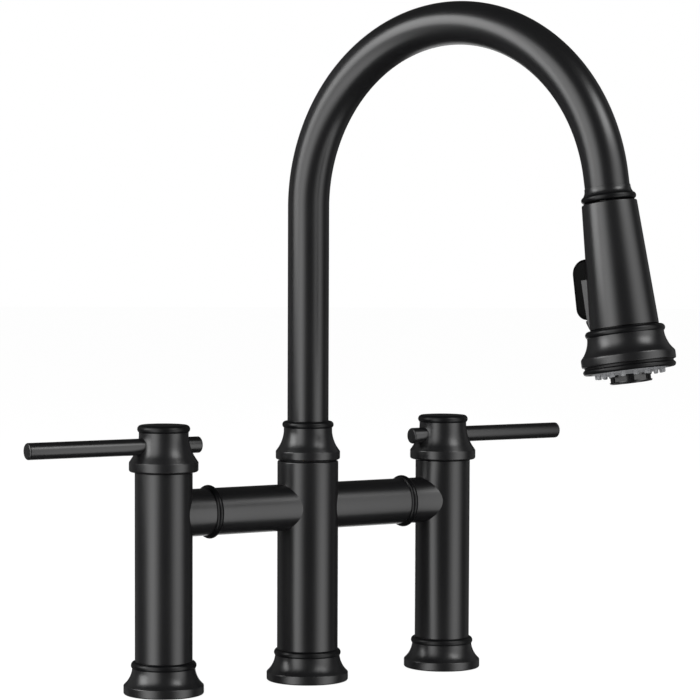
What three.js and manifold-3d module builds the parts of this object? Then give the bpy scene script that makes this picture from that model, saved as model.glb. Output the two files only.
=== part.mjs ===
// A two-handle bridge kitchen faucet with a swivelling gooseneck and a pull-down spray head.
// Millimetres, +Z up. The origin is the centre post's axis at the deck, X runs along the bridge
// and -Y is the user's side. Each piece is one closed solid, named as it would be on a bench.
import * as THREE from "three";
import { mergeVertices } from "three/addons/utils/BufferGeometryUtils.js";
import Module from "manifold-3d";

const wasm = await Module();
wasm.setup();

// ---------------------------------------------------------------- driving dimensions

const FIT = 0.3; // clearance of a piece to its seat, all round
const BIG_SIDES = 18; // facets round the parts that show
const MID_SIDES = 16; // facets round smaller turned parts
const SMALL_SIDES = 12; // facets round hidden and slender parts

// Deck layout
const POST_SPACING = 203.2; // between the two outer posts, 8 in
const BRIDGE_Z = 108; // height of the bridge's centre line
const SPOUT_TURN = 20; // degrees that the spout stands towards +X, off straight front

// Outer posts, each a tee with a stub towards the centre
const POST_R = 17.35;
const POST_WALL = 3.75;
const POST_RISE = 25.3; // the post's top above the bridge
const SEAT_DROP = 12.3; // the web that the cartridge stands on, below the bridge
const SEAT_WEB = 3.7;
const SEAT_HOLE_R = 8;
const STUB_REACH = 31.1; // from the post's axis to the joint under the cover ring

// Bridge
const BRIDGE_R = 14.35;
const STUB_BORE_R = 10;
const WATERWAY_R = 6.5;
const SPIGOT_LENGTH = 12;
const RING_ROUND = 2.3; // radius of the cover ring's half-round section
const RING_PROUD = 1.95; // how far the ring stands off the bridge

// Centre post, as wide as the spout's shank inside it asks for
const CENTRE_WALL = 3.35;
const CENTRE_EDGE = 1.2; // rounded top edge
const WASHER_H = 1.5;
const WASHER_W = 1.3;

// Deck flanges: a band at the deck, a concave flare and a bead round the post
const FLANGE_BAND_H = 5.2;
const FLANGE_EDGE = 1; // rounded foot of the band
const FLARE_TOP = 14.7;
const FLARE_BEND_Z = 9.8; // where the flare's two tangents meet
const BEAD_Z = 17.2;
const BEAD_ROUND = 2.45;
const OUTER_FLANGE = { band: 6.85, neck: 1.6, bead: 2.4 }; // overhangs beyond the post
const CENTRE_FLANGE = { band: 6.45, neck: 1.2, bead: 1.9 };
const FLARE_BEND_OUT = 0.75; // the bend's distance beyond the neck
const GASKET_W = 3;
const GASKET_H = 1.6;

// Cartridge, its nut and its stem
const CARTRIDGE_FOOT = 3;
const CARTRIDGE_WAIST_R = 10.5;
const CARTRIDGE_SHOULDER_RISE = 8; // above the bridge
const CARTRIDGE_SHOULDER_H = 4;
const CARTRIDGE_NECK_R = 7.5;
const CARTRIDGE_INLET_R = 3;
const CARTRIDGE_PORT_R = 3.5;
const NUT_SUNK = 1.5; // below the post's top
const NUT_SLOT = 2.4;
const STEM_R = 4.2;
const STEM_DROP = 4; // the stem's foot below the bridge
const STEM_FLAT = 0.7; // depth of the flat that the grub screw bears on

// Handle hub, measured up from its underside
const HUB_PROUD = 3.5; // the hub's band beyond the post
const HUB_BAND_H = 5.7;
const HUB_EDGE = 1.4;
const HUB_NECK_R = 14.9;
const HUB_NECK_Z = 22;
const HUB_BEND_Z = 14.6; // where the cone's and the neck's tangents meet
const HUB_BEAD_Z = 25.6;
const HUB_BEAD_ROUND = 2.5;
const HUB_BEAD_PROUD = 0.95;
const HUB_SOCKET_Z = 9.1; // depth of the stem's blind socket
const LEVER_Z = 15.4;
const SCREW_Z = 2.9;

// Lever
const LEVER_R = 5;
const LEVER_LONG = 90.5; // from the hub's axis to the outer tip
const LEVER_SHORT = 24.5; // from the hub's axis to the inner tip
const LEVER_EDGE = 1.1;

// Grub screws
const SCREW_R = 1.9;
const SCREW_SOCKET_R = 1.1;
const SCREW_SOCKET_DEPTH = 1.6;
const SCREW_SUNK = 0.7; // how far a grub screw lies below the surface

// Spout collar, measured up from its underside
const COLLAR_GAP = 0.6; // shadow gap over the centre post
const COLLAR_PROUD = 1.05; // the collar's band beyond the centre post
const COLLAR_BAND_H = 5.1;
const COLLAR_EDGE = 1.3;
const COLLAR_NECK_PROUD = 2.25; // the collar's neck beyond the gooseneck
const COLLAR_NECK_Z = 17.8;
const COLLAR_BEND_Z = 12.2;
const COLLAR_BEAD_Z = 21.5;
const COLLAR_BEAD_ROUND = 2.3;
const COLLAR_BEAD_PROUD = 0.95;

// Gooseneck: a 1 in tube, straight up, round a bend and a short straight tip
const TUBE_R = 12.7;
const TUBE_WALL = 1.3;
const TUBE_SUNK = 18; // how deep the tube stands in the centre post
const LEG_TOP = 292.5;
const BEND_R = 107;
const BEND_ANGLE = 171.25; // degrees, so the tip leans out by 8.75
const TIP_STRAIGHT = 12;
const BEND_STEPS = 22;
const TUBE_SIDES = 18;
const TUBE_BORE_SIDES = 12;

// Swivel shank in the centre post
const SHANK_WALL = 2.2;
const SHANK_LIP = 1;
const SHANK_LIP_R = 9;
const O_RING_RISE = 4.2; // above the tube's foot
const O_RING_H = 2.4;
const GROOVE_DEPTH = 1.3;
const LOCK_RISE = 11.4; // above the tube's foot
const LOCK_GROOVE_H = 5.4;
const LOCK_SCREW_R = 2.2;

// Mixing manifold in the centre post
const MANIFOLD_LID = 2.5;
const MANIFOLD_FLOOR = 4.5;
const HOSE_PASSAGE = 1.8; // room round the hose
const GALLERY_R = 10.8;
const GALLERY_H = 13;
const DRAIN_R = 1.6;

// Hose
const HOSE_R = 5.8;
const HOSE_SIDES = 6;
const HOSE_FOOT = 1;

// Collar on the spout's tip; its flare and bead are placed from the tube's end
const TIP_COLLAR_START_DROP = 4.4;
const TIP_COLLAR_START_PROUD = 0.65;
const TIP_BEND_DROP = 2.6;
const TIP_BEAD_BEYOND = 1.3;
const TIP_BEAD_ROUND = 2;
const TIP_BEAD_PROUD = 2.85;
const DOCK_START = -4;
const DOCK_WALL = 1.5;
const MAGNET_W = 1.8;

// Spray head, measured along its own axis
const HEAD_GAP = 0.5; // between the tip collar and the head
const HEAD_LENGTH = 70.8; // of the shell
const HEAD_TOP_R = 16.05;
const HEAD_CHAMFER = 0.9;
const HEAD_BOTTOM_R = 19.45;
const HEAD_WALL = 2.2;
const HEAD_LID = 4.5;
const CATCH_RING_W = 2.3;
const CATCH_RING_H = 1.5;
const CONNECTOR_START = -6; // from the end of the gooseneck's bend, as DOCK_START
const CONNECTOR_FERRULE_R = 6.9;
const CONNECTOR_FERRULE_L = 4;
const CONNECTOR_NECK_R = 7.2;
const CONNECTOR_THREAD = 6.4; // how far the connector screws into the waterway
const CONNECTOR_BORE_R = 4;

// Skirt under the shell: a bead, a concave bell and a band, placed from the shell's end
const SKIRT_BEAD_AT = 2.6;
const SKIRT_BEAD_ROUND = 2.2;
const SKIRT_BEAD_PROUD = 3.1;
const SKIRT_NECK_PROUD = 2.2;
const SKIRT_BEND_AT = 10.1;
const SKIRT_CORNER_AT = 15.8;
const SKIRT_R = 26.6;
const SKIRT_LENGTH = 20.7;
const SKIRT_EDGE = 0.9;
const SKIRT_WALL = 2.4;
const SKIRT_SHELF = 5; // depth of the inner shelf that holds the waterway
const SKIRT_SPIGOT_H = 3.9; // how far the skirt reaches up into the shell
const SKIRT_SPIGOT_W = 2.1;
const SKIRT_STEP = 2; // width of the step that the spray face stops against

// Rim ring, spray face and aerator
const RIM_BEAD_AT = 2.7; // beyond the skirt
const RIM_BEAD_ROUND = 1.6;
const RIM_BEAD_PROUD = 1.05; // beyond the rim's waist
const RIM_WAIST_IN = 1.5; // how far the rim's groove lies inside the skirt's band
const FACE_R = 22;
const FACE_SUNK = 1.3; // how deep the face's flange lies in the skirt
const FACE_EDGE_PROUD = 4.1; // of the skirt
const FACE_RISE = 2; // of the cone, from its edge to the aerator
const NOZZLE_R = 1.1;
const NOZZLE_PROUD = 3; // of the cone's edge
const NOZZLE_SIDES = 6;
const OUTER_NOZZLES = { count: 18, r: 18.6 };
const INNER_NOZZLES = { count: 12, r: 15.1 };
const AERATOR_R = 12;
const AERATOR_L = 9.2;
const AERATOR_PROUD = 4.8; // of the face
const AERATOR_EDGE = 0.8;
const AERATOR_RIM = 1.8;
const AERATOR_RECESS = 2.2;
const WINDOW_COUNT = 6;
const WINDOW_W = 8;
const WINDOW_H = 2.8;
const WINDOW_DEPTH = 1.2; // at its middle
const WINDOW_AT = 2.45; // from the aerator's end

// Waterway inside the head
const CORE_R = 10;
const CORE_BORE_R = 5;
const CORE_HEAD_ROOM = 0.85; // round the core's head in the shell
const CORE_HEAD_H = 3.4;
const CORE_FOOT_ROOM = 0.35; // round its foot in the skirt
const CORE_FOOT_H = 3;
const CORE_RIM_W = 2.4; // of the foot beyond the cup
const CORE_CUP_WALL = 2;

// Mode button on the head's back: a rocker in a pocket, with a boss round its lower half.
// "Out" is the distance from the head's axis.
const BUTTON_LENGTH = 34.4;
const BUTTON_HALF_W = 8.5;
const BUTTON_OUT = 27;
const BUTTON_CROWN = 0.3; // how much the crowned top falls towards its long edges, before the edge round
const BUTTON_EDGE = 4.5;
const BUTTON_DRAFT = 0.8; // how far each side leans in towards the top
const BUTTON_CORNER = 3.5; // corner radius seen from behind
const BUTTON_TOP_ROUND = 8.6; // the upper end's radius seen from the side
const BUTTON_FOOT_ROUND = 5.6;
const BUTTON_PLAY = 0.5; // clearance at the button's sides and upper end
const BUTTON_FOOT_PLAY = 1; // clearance at its foot, which swings down as it is pressed
const BUTTON_ROCK = 6; // degrees of travel
const PIN_AT = 16; // from the button's foot
const PIN_OUT = 15.6;
const PIN_R = 1;
const PIN_HOLD = 0.8; // length of the pin in each wall of the pocket
const POCKET_OUT = 13.2; // the pocket's floor
const POCKET_WALL = 1.7;
const BOSS_AT = 22.4; // where it begins, from the button's foot
const BOSS_TAIL_GAP = 1; // between its ramp and the shell's end
const BOSS_OUT = 21;
const BOSS_WALL = 1.6; // beside the pocket
const HEEL_OUT = 21.4; // the ridge below the button's foot
const HEEL_HALF_W = 6.8;

// ---------------------------------------------------------------- materials

const finish = (color, roughness, metalness) =>
  new THREE.MeshStandardMaterial({ color, roughness, metalness });
const BLACK_COAT = finish(0x2c2c2d, 0.45, 0.35);
const GLOSS_PLASTIC = finish(0x0e0e0f, 0.18, 0);
const MATTE_PLASTIC = finish(0x19191a, 0.6, 0);
const GREY_SILICONE = finish(0x8b8c8e, 0.55, 0);
const BRASS = finish(0xb08d4a, 0.35, 1);
const STEEL = finish(0x9a9b9d, 0.35, 1);
const RUBBER = finish(0x1c1c1c, 0.85, 0);
const NYLON_BRAID = finish(0x6a6b6d, 0.7, 0);

// ---------------------------------------------------------------- shape helpers

const at = (r, z) => new THREE.Vector2(r, z);
const radians = THREE.MathUtils.degToRad;

// Points on an arc about (r, z), from one angle to another in degrees.
function arc(r, z, radius, from, to, steps) {
  const points = [];
  for (let i = 0; i <= steps; i++) {
    const angle = radians(from + ((to - from) * i) / steps);
    points.push(at(r + radius * Math.cos(angle), z + radius * Math.sin(angle)));
  }
  return points;
}

// Points on a curve that leaves one point and reaches the next along the lines to their bend.
function sweep(start, bend, end, steps) {
  return new THREE.QuadraticBezierCurve(start, bend, end).getPoints(steps);
}

// Half-round bead about (r, z), cut off where it meets the radii below and above it.
function bead(r, z, radius, belowR, aboveR, steps) {
  const angleAt = (edgeR) => Math.acos(THREE.MathUtils.clamp((edgeR - r) / radius, -1, 1));
  const [below, above] = [angleAt(belowR), angleAt(aboveR)].map(THREE.MathUtils.radToDeg);
  return arc(r, z, radius, -below, above, steps);
}

// Revolves an outline of (radius, height) points about Z; the outline closes on itself.
function turned(outline, sides) {
  const ring = THREE.ShapeUtils.area(outline) < 0 ? [...outline].reverse() : outline;
  return solid(new THREE.LatheGeometry([...ring, ring[0]], sides).rotateX(Math.PI / 2));
}

const tube = (outerR, innerR, from, to, sides) =>
  turned([at(innerR, from), at(outerR, from), at(outerR, to), at(innerR, to)], sides);

// A plain rod along Z.
function rod(radius, from, to, sides) {
  const length = to - from;
  return solid(
    new THREE.CylinderGeometry(radius, radius, length, sides)
      .rotateX(Math.PI / 2)
      .translate(0, 0, from + length / 2),
  );
}

const box = (x, y, z, dx, dy, dz) => solid(new THREE.BoxGeometry(dx, dy, dz).translate(x, y, z));

// A three.js geometry as a closed solid that can be joined and cut.
function solid(geometry) {
  const bare = new THREE.BufferGeometry().setAttribute("position", geometry.getAttribute("position"));
  if (geometry.index) bare.setIndex(geometry.index);
  const merged = mergeVertices(bare, 1e-4);
  const corners = merged.index.array;
  const kept = [];
  for (let i = 0; i < corners.length; i += 3) {
    const [a, b, c] = [corners[i], corners[i + 1], corners[i + 2]];
    if (a !== b && b !== c && c !== a) kept.push(a, b, c);
  }
  const vertProperties = new Float32Array(merged.getAttribute("position").array);
  return new wasm.Manifold(new wasm.Mesh({ numProp: 3, vertProperties, triVerts: new Uint32Array(kept) }));
}

const along = (shape, axis) => shape.rotate(axis === "x" ? [0, 90, 0] : [-90, 0, 0]);

// A named mesh of a finished solid.
function piece(name, shape, material) {
  const { vertProperties, triVerts } = shape.getMesh();
  const geometry = new THREE.BufferGeometry()
    .setAttribute("position", new THREE.BufferAttribute(vertProperties, 3))
    .setIndex(new THREE.BufferAttribute(triVerts, 1));
  geometry.computeVertexNormals();
  const mesh = new THREE.Mesh(geometry, material);
  mesh.name = name;
  return mesh;
}

// ---------------------------------------------------------------- places and radii that follow

const SEAT_Z = BRIDGE_Z - SEAT_DROP;
const POST_TOP = BRIDGE_Z + POST_RISE;
const CARTRIDGE_SHOULDER_Z = BRIDGE_Z + CARTRIDGE_SHOULDER_RISE;
const NUT_TOP = POST_TOP - NUT_SUNK;
const STEM_FOOT = BRIDGE_Z - STEM_DROP;
const MANIFOLD_TOP = BRIDGE_Z + GALLERY_H / 2 + MANIFOLD_LID;
const TUBE_FOOT = MANIFOLD_TOP + FIT + SHANK_LIP + FIT;
const CENTRE_TOP = TUBE_FOOT + TUBE_SUNK;
const O_RING_Z = TUBE_FOOT + O_RING_RISE;
const LOCK_Z = TUBE_FOOT + LOCK_RISE;

const SLEEVE_R = TUBE_R + FIT; // bore of what slips over the gooseneck
const TUBE_BORE_R = TUBE_R - TUBE_WALL;
const SHANK_R = SLEEVE_R + SHANK_WALL;
const CENTRE_BORE_R = SHANK_R + FIT;
const CENTRE_R = CENTRE_BORE_R + CENTRE_WALL;
const DOCK_R = TUBE_BORE_R * Math.cos(Math.PI / TUBE_BORE_SIDES) - FIT;
const DOCK_BORE_R = DOCK_R - DOCK_WALL;
const CATCH_RING_R = DOCK_BORE_R + CATCH_RING_W;

// Along the head's own axis, from the end of the gooseneck's bend
const TIP_COLLAR_START = TIP_STRAIGHT - TIP_COLLAR_START_DROP;
const TIP_BEAD = TIP_STRAIGHT + TIP_BEAD_BEYOND;
const TIP_COLLAR_END = TIP_BEAD + TIP_BEAD_ROUND;
const HEAD_TOP = TIP_COLLAR_END + HEAD_GAP;
const HEAD_BOTTOM = HEAD_TOP + HEAD_LENGTH;
const BUTTON_END = HEAD_BOTTOM - SKIRT_SPIGOT_H - POCKET_WALL - BUTTON_FOOT_PLAY;
const BUTTON_START = BUTTON_END - BUTTON_LENGTH;
const PIN_Z = BUTTON_END - PIN_AT;
const BOSS_START = BUTTON_END - BOSS_AT;
const BOSS_TAIL = HEAD_BOTTOM - BOSS_TAIL_GAP;
const SKIRT_BEAD = HEAD_BOTTOM + SKIRT_BEAD_AT;
const SKIRT_CORNER = HEAD_BOTTOM + SKIRT_CORNER_AT;
const SKIRT_END = HEAD_BOTTOM + SKIRT_LENGTH;
const RIM_BEAD = SKIRT_END + RIM_BEAD_AT;
const FACE_BACK = SKIRT_END - FACE_SUNK;
const FACE_EDGE = SKIRT_END + FACE_EDGE_PROUD;
const FACE_CENTRE = FACE_EDGE + FACE_RISE;
const NOZZLE_TIP = FACE_EDGE + NOZZLE_PROUD;
const AERATOR_END = FACE_CENTRE + AERATOR_PROUD;
const AERATOR_START = AERATOR_END - AERATOR_L;
const CORE_HEAD_R = HEAD_TOP_R - HEAD_WALL - CORE_HEAD_ROOM;
const CORE_FOOT_R = HEAD_BOTTOM_R + SKIRT_NECK_PROUD - SKIRT_WALL - CORE_FOOT_ROOM;
const CORE_CUP_R = CORE_FOOT_R - CORE_RIM_W;

// ---------------------------------------------------------------- deck flanges

function flange(postR, overhang) {
  const bore = postR + FIT;
  const band = postR + overhang.band;
  const neck = postR + overhang.neck;
  const recess = bore + GASKET_W + FIT;
  return turned(
    [
      at(bore, GASKET_H + FIT),
      at(recess, GASKET_H + FIT),
      at(recess, 0),
      ...arc(band - FLANGE_EDGE, FLANGE_EDGE, FLANGE_EDGE, -90, 0, 1),
      ...sweep(at(band, FLANGE_BAND_H), at(neck + FLARE_BEND_OUT, FLARE_BEND_Z), at(neck, FLARE_TOP), 4),
      ...bead(postR + overhang.bead - BEAD_ROUND, BEAD_Z, BEAD_ROUND, neck, bore, 3),
    ],
    BIG_SIDES,
  );
}

const gasket = (postR) => tube(postR + FIT + GASKET_W, postR + FIT, 0, GASKET_H, BIG_SIDES);

// ---------------------------------------------------------------- outer posts and their valves

const POST_BORE_R = POST_R - POST_WALL;
const OUTER_X = POST_SPACING / 2;

// The tee stands at its own axis, with its stub along +X.
function valvePost() {
  const body = rod(POST_R, 0, POST_TOP, BIG_SIDES);
  const stub = along(rod(BRIDGE_R, 0, STUB_REACH, BIG_SIDES), "x").translate([0, 0, BRIDGE_Z]);
  const bores = [
    rod(POST_BORE_R, -FIT, SEAT_Z - SEAT_WEB, SMALL_SIDES),
    rod(SEAT_HOLE_R, 0, POST_TOP, SMALL_SIDES),
    rod(POST_BORE_R, SEAT_Z, POST_TOP + FIT, SMALL_SIDES),
    along(rod(STUB_BORE_R, 0, STUB_REACH + FIT, MID_SIDES), "x").translate([0, 0, BRIDGE_Z]),
  ];
  return bores.reduce((shape, bore) => shape.subtract(bore), body.add(stub));
}

function cartridge() {
  const r = POST_BORE_R - FIT;
  const foot = SEAT_Z + FIT;
  const shoulder = CARTRIDGE_SHOULDER_Z + CARTRIDGE_SHOULDER_H;
  const body = turned(
    [
      at(CARTRIDGE_INLET_R, foot),
      at(r, foot),
      at(r, foot + CARTRIDGE_FOOT),
      at(CARTRIDGE_WAIST_R, foot + CARTRIDGE_FOOT),
      at(CARTRIDGE_WAIST_R, CARTRIDGE_SHOULDER_Z),
      at(r, CARTRIDGE_SHOULDER_Z),
      at(r, shoulder),
      at(CARTRIDGE_NECK_R, shoulder),
      at(CARTRIDGE_NECK_R, NUT_TOP - FIT),
      at(STEM_R + FIT, NUT_TOP - FIT),
      at(STEM_R + FIT, STEM_FOOT - FIT),
      at(CARTRIDGE_INLET_R, STEM_FOOT - FIT),
    ],
    SMALL_SIDES,
  );
  const ports = along(rod(CARTRIDGE_PORT_R, -r, r, SMALL_SIDES / 2), "x").translate([0, 0, BRIDGE_Z]);
  return body.subtract(ports);
}

// The ring nut that holds the cartridge down, with two slots for its spanner.
function cartridgeNut() {
  const foot = CARTRIDGE_SHOULDER_Z + CARTRIDGE_SHOULDER_H + FIT;
  const ring = tube(POST_BORE_R - FIT, CARTRIDGE_NECK_R + FIT, foot, NUT_TOP, SMALL_SIDES);
  return ring.subtract(box(0, 0, NUT_TOP, NUT_SLOT, POST_R * 2, NUT_SLOT * 2));
}

// ---------------------------------------------------------------- bridge

// Half-round ring that covers the joint between the stub and the bridge tube.
function coverRing() {
  const inner = BRIDGE_R + FIT;
  const centre = BRIDGE_R + RING_PROUD - RING_ROUND;
  return along(turned(bead(centre, 0, RING_ROUND, inner, inner, 5), BIG_SIDES), "x");
}

const SPIGOT_R = STUB_BORE_R - FIT;
const SEAL_GROOVE_R = WATERWAY_R + 1;
const SEAL_H = 2.2;
const SEAL_SET_BACK = 4; // from the spigot's end to its O-ring groove

// The tube along +X, from its spigot in the left post's stub to the centre post that it is coped to.
function bridgeTube() {
  const joint = -(OUTER_X - STUB_REACH) + FIT;
  const end = joint - SPIGOT_LENGTH;
  const grooveStart = end + SEAL_SET_BACK;
  const body = along(
    turned(
      [
        at(WATERWAY_R, end),
        at(SPIGOT_R, end),
        at(SPIGOT_R, grooveStart),
        at(SEAL_GROOVE_R, grooveStart),
        at(SEAL_GROOVE_R, grooveStart + SEAL_H + FIT),
        at(SPIGOT_R, grooveStart + SEAL_H + FIT),
        at(SPIGOT_R, joint),
        at(BRIDGE_R, joint),
        at(BRIDGE_R, 0),
        at(WATERWAY_R, 0),
      ],
      BIG_SIDES,
    ),
    "x",
  ).translate([0, 0, BRIDGE_Z]);
  return body.subtract(rod(CENTRE_R + FIT, 0, CENTRE_TOP + BRIDGE_Z, BIG_SIDES));
}

function bridgeSeal() {
  const start = -(OUTER_X - STUB_REACH) + FIT - SPIGOT_LENGTH + SEAL_SET_BACK + FIT / 2;
  const ring = tube(SPIGOT_R, SEAL_GROOVE_R + FIT, start, start + SEAL_H, SMALL_SIDES);
  return along(ring, "x").translate([0, 0, BRIDGE_Z]);
}

// ---------------------------------------------------------------- centre post

function centrePost() {
  const shelf = CENTRE_TOP + COLLAR_GAP - FIT - WASHER_H - FIT;
  const shell = turned(
    [
      at(CENTRE_BORE_R, 0),
      at(CENTRE_R, 0),
      ...arc(CENTRE_R - CENTRE_EDGE, CENTRE_TOP - CENTRE_EDGE, CENTRE_EDGE, 0, 90, 2),
      at(CENTRE_BORE_R + WASHER_W + FIT, CENTRE_TOP),
      at(CENTRE_BORE_R + WASHER_W + FIT, shelf),
      at(CENTRE_BORE_R, shelf),
    ],
    BIG_SIDES,
  );
  const ports = along(rod(WATERWAY_R, -CENTRE_R - FIT, CENTRE_R + FIT, SMALL_SIDES), "x");
  const screwHole = along(rod(LOCK_SCREW_R + FIT, 0, CENTRE_R + FIT, SMALL_SIDES), "y");
  return shell.subtract(ports.translate([0, 0, BRIDGE_Z])).subtract(screwHole.translate([0, 0, LOCK_Z]));
}

function swivelWasher() {
  const top = CENTRE_TOP + COLLAR_GAP - FIT;
  return tube(CENTRE_BORE_R + WASHER_W, CENTRE_BORE_R, top - WASHER_H, top, BIG_SIDES);
}

// Collects the water of both arms in a gallery round the hose passage, and drains it downwards.
function mixingManifold() {
  const foot = BRIDGE_Z - GALLERY_H / 2 - MANIFOLD_FLOOR;
  const body = turned(
    [
      at(HOSE_R + HOSE_PASSAGE, foot),
      at(SHANK_R, foot),
      at(SHANK_R, BRIDGE_Z - GALLERY_H / 2),
      at(GALLERY_R, BRIDGE_Z - GALLERY_H / 2),
      at(GALLERY_R, BRIDGE_Z + GALLERY_H / 2),
      at(SHANK_R, BRIDGE_Z + GALLERY_H / 2),
      at(SHANK_R, MANIFOLD_TOP),
      at(HOSE_R + HOSE_PASSAGE, MANIFOLD_TOP),
    ],
    MID_SIDES,
  );
  const drain = rod(DRAIN_R, foot - FIT, BRIDGE_Z, SMALL_SIDES / 2);
  return body.subtract(drain.translate([0, (GALLERY_R + SHANK_R) / 2, 0]));
}

// ---------------------------------------------------------------- handles

const HUB_FOOT = POST_TOP + FIT;
const HUB_R = POST_R + HUB_PROUD;
const STEM_TOP = HUB_FOOT + HUB_SOCKET_Z - FIT;

function handleHub() {
  const neckR = HUB_NECK_R;
  const beadCentre = neckR + HUB_BEAD_PROUD - HUB_BEAD_ROUND;
  const top = HUB_FOOT + HUB_BEAD_Z + HUB_BEAD_ROUND;
  const outer = turned(
    [
      at(0, HUB_FOOT),
      ...arc(HUB_R - HUB_EDGE, HUB_FOOT + HUB_EDGE, HUB_EDGE, -90, 0, 2),
      ...sweep(
        at(HUB_R, HUB_FOOT + HUB_BAND_H),
        at(neckR, HUB_FOOT + HUB_BEND_Z),
        at(neckR, HUB_FOOT + HUB_NECK_Z),
        4,
      ),
      ...bead(beadCentre, HUB_FOOT + HUB_BEAD_Z, HUB_BEAD_ROUND, neckR, beadCentre, 3),
      at(0, top),
    ],
    BIG_SIDES,
  );
  const socket = rod(STEM_R + FIT, HUB_FOOT - FIT, HUB_FOOT + HUB_SOCKET_Z, SMALL_SIDES);
  const leverHole = along(rod(LEVER_R + FIT, -HUB_R, HUB_R, SMALL_SIDES), "x");
  const screwHole = along(rod(SCREW_R + FIT, 0, HUB_R + FIT, SMALL_SIDES), "y");
  return outer
    .subtract(socket)
    .subtract(leverHole.translate([0, 0, HUB_FOOT + LEVER_Z]))
    .subtract(screwHole.translate([0, 0, HUB_FOOT + SCREW_Z]));
}

// The lever is one rod through the hub, long end along +X.
function lever() {
  const inner = LEVER_R - LEVER_EDGE;
  const shape = turned(
    [
      at(0, -LEVER_SHORT),
      ...arc(inner, -LEVER_SHORT + LEVER_EDGE, LEVER_EDGE, -90, 0, 2),
      ...arc(inner, LEVER_LONG - LEVER_EDGE, LEVER_EDGE, 0, 90, 2),
      at(0, LEVER_LONG),
    ],
    SMALL_SIDES,
  );
  return along(shape, "x").translate([0, 0, HUB_FOOT + LEVER_Z]);
}

function valveStem() {
  const flatBox = box(0, STEM_R, STEM_TOP - HUB_SOCKET_Z / 2, STEM_R * 2, STEM_FLAT * 2, HUB_SOCKET_Z + FIT);
  return rod(STEM_R, STEM_FOOT, STEM_TOP, SMALL_SIDES).subtract(flatBox);
}

// Grub screw with a hexagon socket, along +Y between two radii.
function grubScrew(radius, from, to, z) {
  const socket = rod(SCREW_SOCKET_R, to - SCREW_SOCKET_DEPTH, to + FIT, 6);
  return along(rod(radius, from, to, 12).subtract(socket), "y").translate([0, 0, z]);
}

// ---------------------------------------------------------------- spout

const COLLAR_FOOT = CENTRE_TOP + COLLAR_GAP;

function spoutCollar() {
  const bandR = CENTRE_R + COLLAR_PROUD;
  const neckR = TUBE_R + COLLAR_NECK_PROUD;
  const beadCentre = neckR + COLLAR_BEAD_PROUD - COLLAR_BEAD_ROUND;
  return turned(
    [
      at(SLEEVE_R, COLLAR_FOOT),
      ...arc(bandR - COLLAR_EDGE, COLLAR_FOOT + COLLAR_EDGE, COLLAR_EDGE, -90, 0, 2),
      ...sweep(
        at(bandR, COLLAR_FOOT + COLLAR_BAND_H),
        at(neckR, COLLAR_FOOT + COLLAR_BEND_Z),
        at(neckR, COLLAR_FOOT + COLLAR_NECK_Z),
        4,
      ),
      ...bead(beadCentre, COLLAR_FOOT + COLLAR_BEAD_Z, COLLAR_BEAD_ROUND, neckR, SLEEVE_R, 3),
    ],
    BIG_SIDES,
  );
}

// The centre line of the gooseneck, in the plane of the spout: x is its reach and z its height.
// Each straight takes one step and the bend takes equal ones, so no step cuts across a tangent point.
class SpoutLine extends THREE.Curve {
  constructor(foot, angle, tip) {
    super();
    this.straights = [LEG_TOP - foot, tip];
    this.angle = radians(angle);
    this.steps = BEND_STEPS + (tip > 0 ? 2 : 1);
  }
  getUtoTmapping(u) {
    return u;
  }
  getPoint(t) {
    const step = t * this.steps;
    if (step <= 1) return new THREE.Vector3(0, 0, LEG_TOP - this.straights[0] * (1 - step));
    const bend = this.angle * Math.min(1, (step - 1) / BEND_STEPS);
    const tip = this.straights[1] * Math.max(0, step - 1 - BEND_STEPS);
    return new THREE.Vector3(
      BEND_R * (1 - Math.cos(bend)) + tip * Math.sin(bend),
      0,
      LEG_TOP + BEND_R * Math.sin(bend) + tip * Math.cos(bend),
    );
  }
}

const circle = (radius, sides) => arc(0, 0, radius, 0, 360 - 360 / sides, sides - 1);

function extrudedTube(path, shape) {
  return solid(new THREE.ExtrudeGeometry(shape, { steps: path.steps, extrudePath: path }));
}

function gooseneck() {
  const section = new THREE.Shape(circle(TUBE_R, TUBE_SIDES));
  section.holes.push(new THREE.Path(circle(TUBE_BORE_R, TUBE_BORE_SIDES)));
  return extrudedTube(new SpoutLine(TUBE_FOOT, BEND_ANGLE, TIP_STRAIGHT), section);
}

// The hose lies on the gooseneck's centre line and ends at the connector, just inside the bend. Its
// end face leans against the connector's there, so it keeps twice the clearance.
function hose() {
  const shortOf = THREE.MathUtils.radToDeg((2 * FIT - CONNECTOR_START) / BEND_R);
  return extrudedTube(
    new SpoutLine(HOSE_FOOT, BEND_ANGLE - shortOf, 0),
    new THREE.Shape(circle(HOSE_R, HOSE_SIDES)),
  );
}

// Turned shank on the tube's foot: it swivels in the centre post, sealed by an O-ring and held by
// the lock screw in its upper groove.
function spoutShank() {
  const lip = TUBE_FOOT - FIT;
  const foot = lip - SHANK_LIP;
  const floor = SHANK_R - GROOVE_DEPTH;
  const grooves = [
    [O_RING_Z, O_RING_H + FIT],
    [LOCK_Z, LOCK_GROOVE_H],
  ].flatMap(([z, height]) => [
    at(SHANK_R, z - height / 2),
    at(floor, z - height / 2),
    at(floor, z + height / 2),
    at(SHANK_R, z + height / 2),
  ]);
  return turned(
    [
      at(SHANK_LIP_R, foot),
      at(SHANK_R, foot),
      ...grooves,
      at(SHANK_R, COLLAR_FOOT - FIT),
      at(SLEEVE_R, COLLAR_FOOT - FIT),
      at(SLEEVE_R, lip),
      at(SHANK_LIP_R, lip),
    ],
    BIG_SIDES,
  );
}

function spoutSeal() {
  const floor = SHANK_R - GROOVE_DEPTH + FIT;
  return tube(SHANK_R, floor, O_RING_Z - O_RING_H / 2, O_RING_Z + O_RING_H / 2, MID_SIDES);
}

// ---------------------------------------------------------------- spout tip and dock

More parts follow.
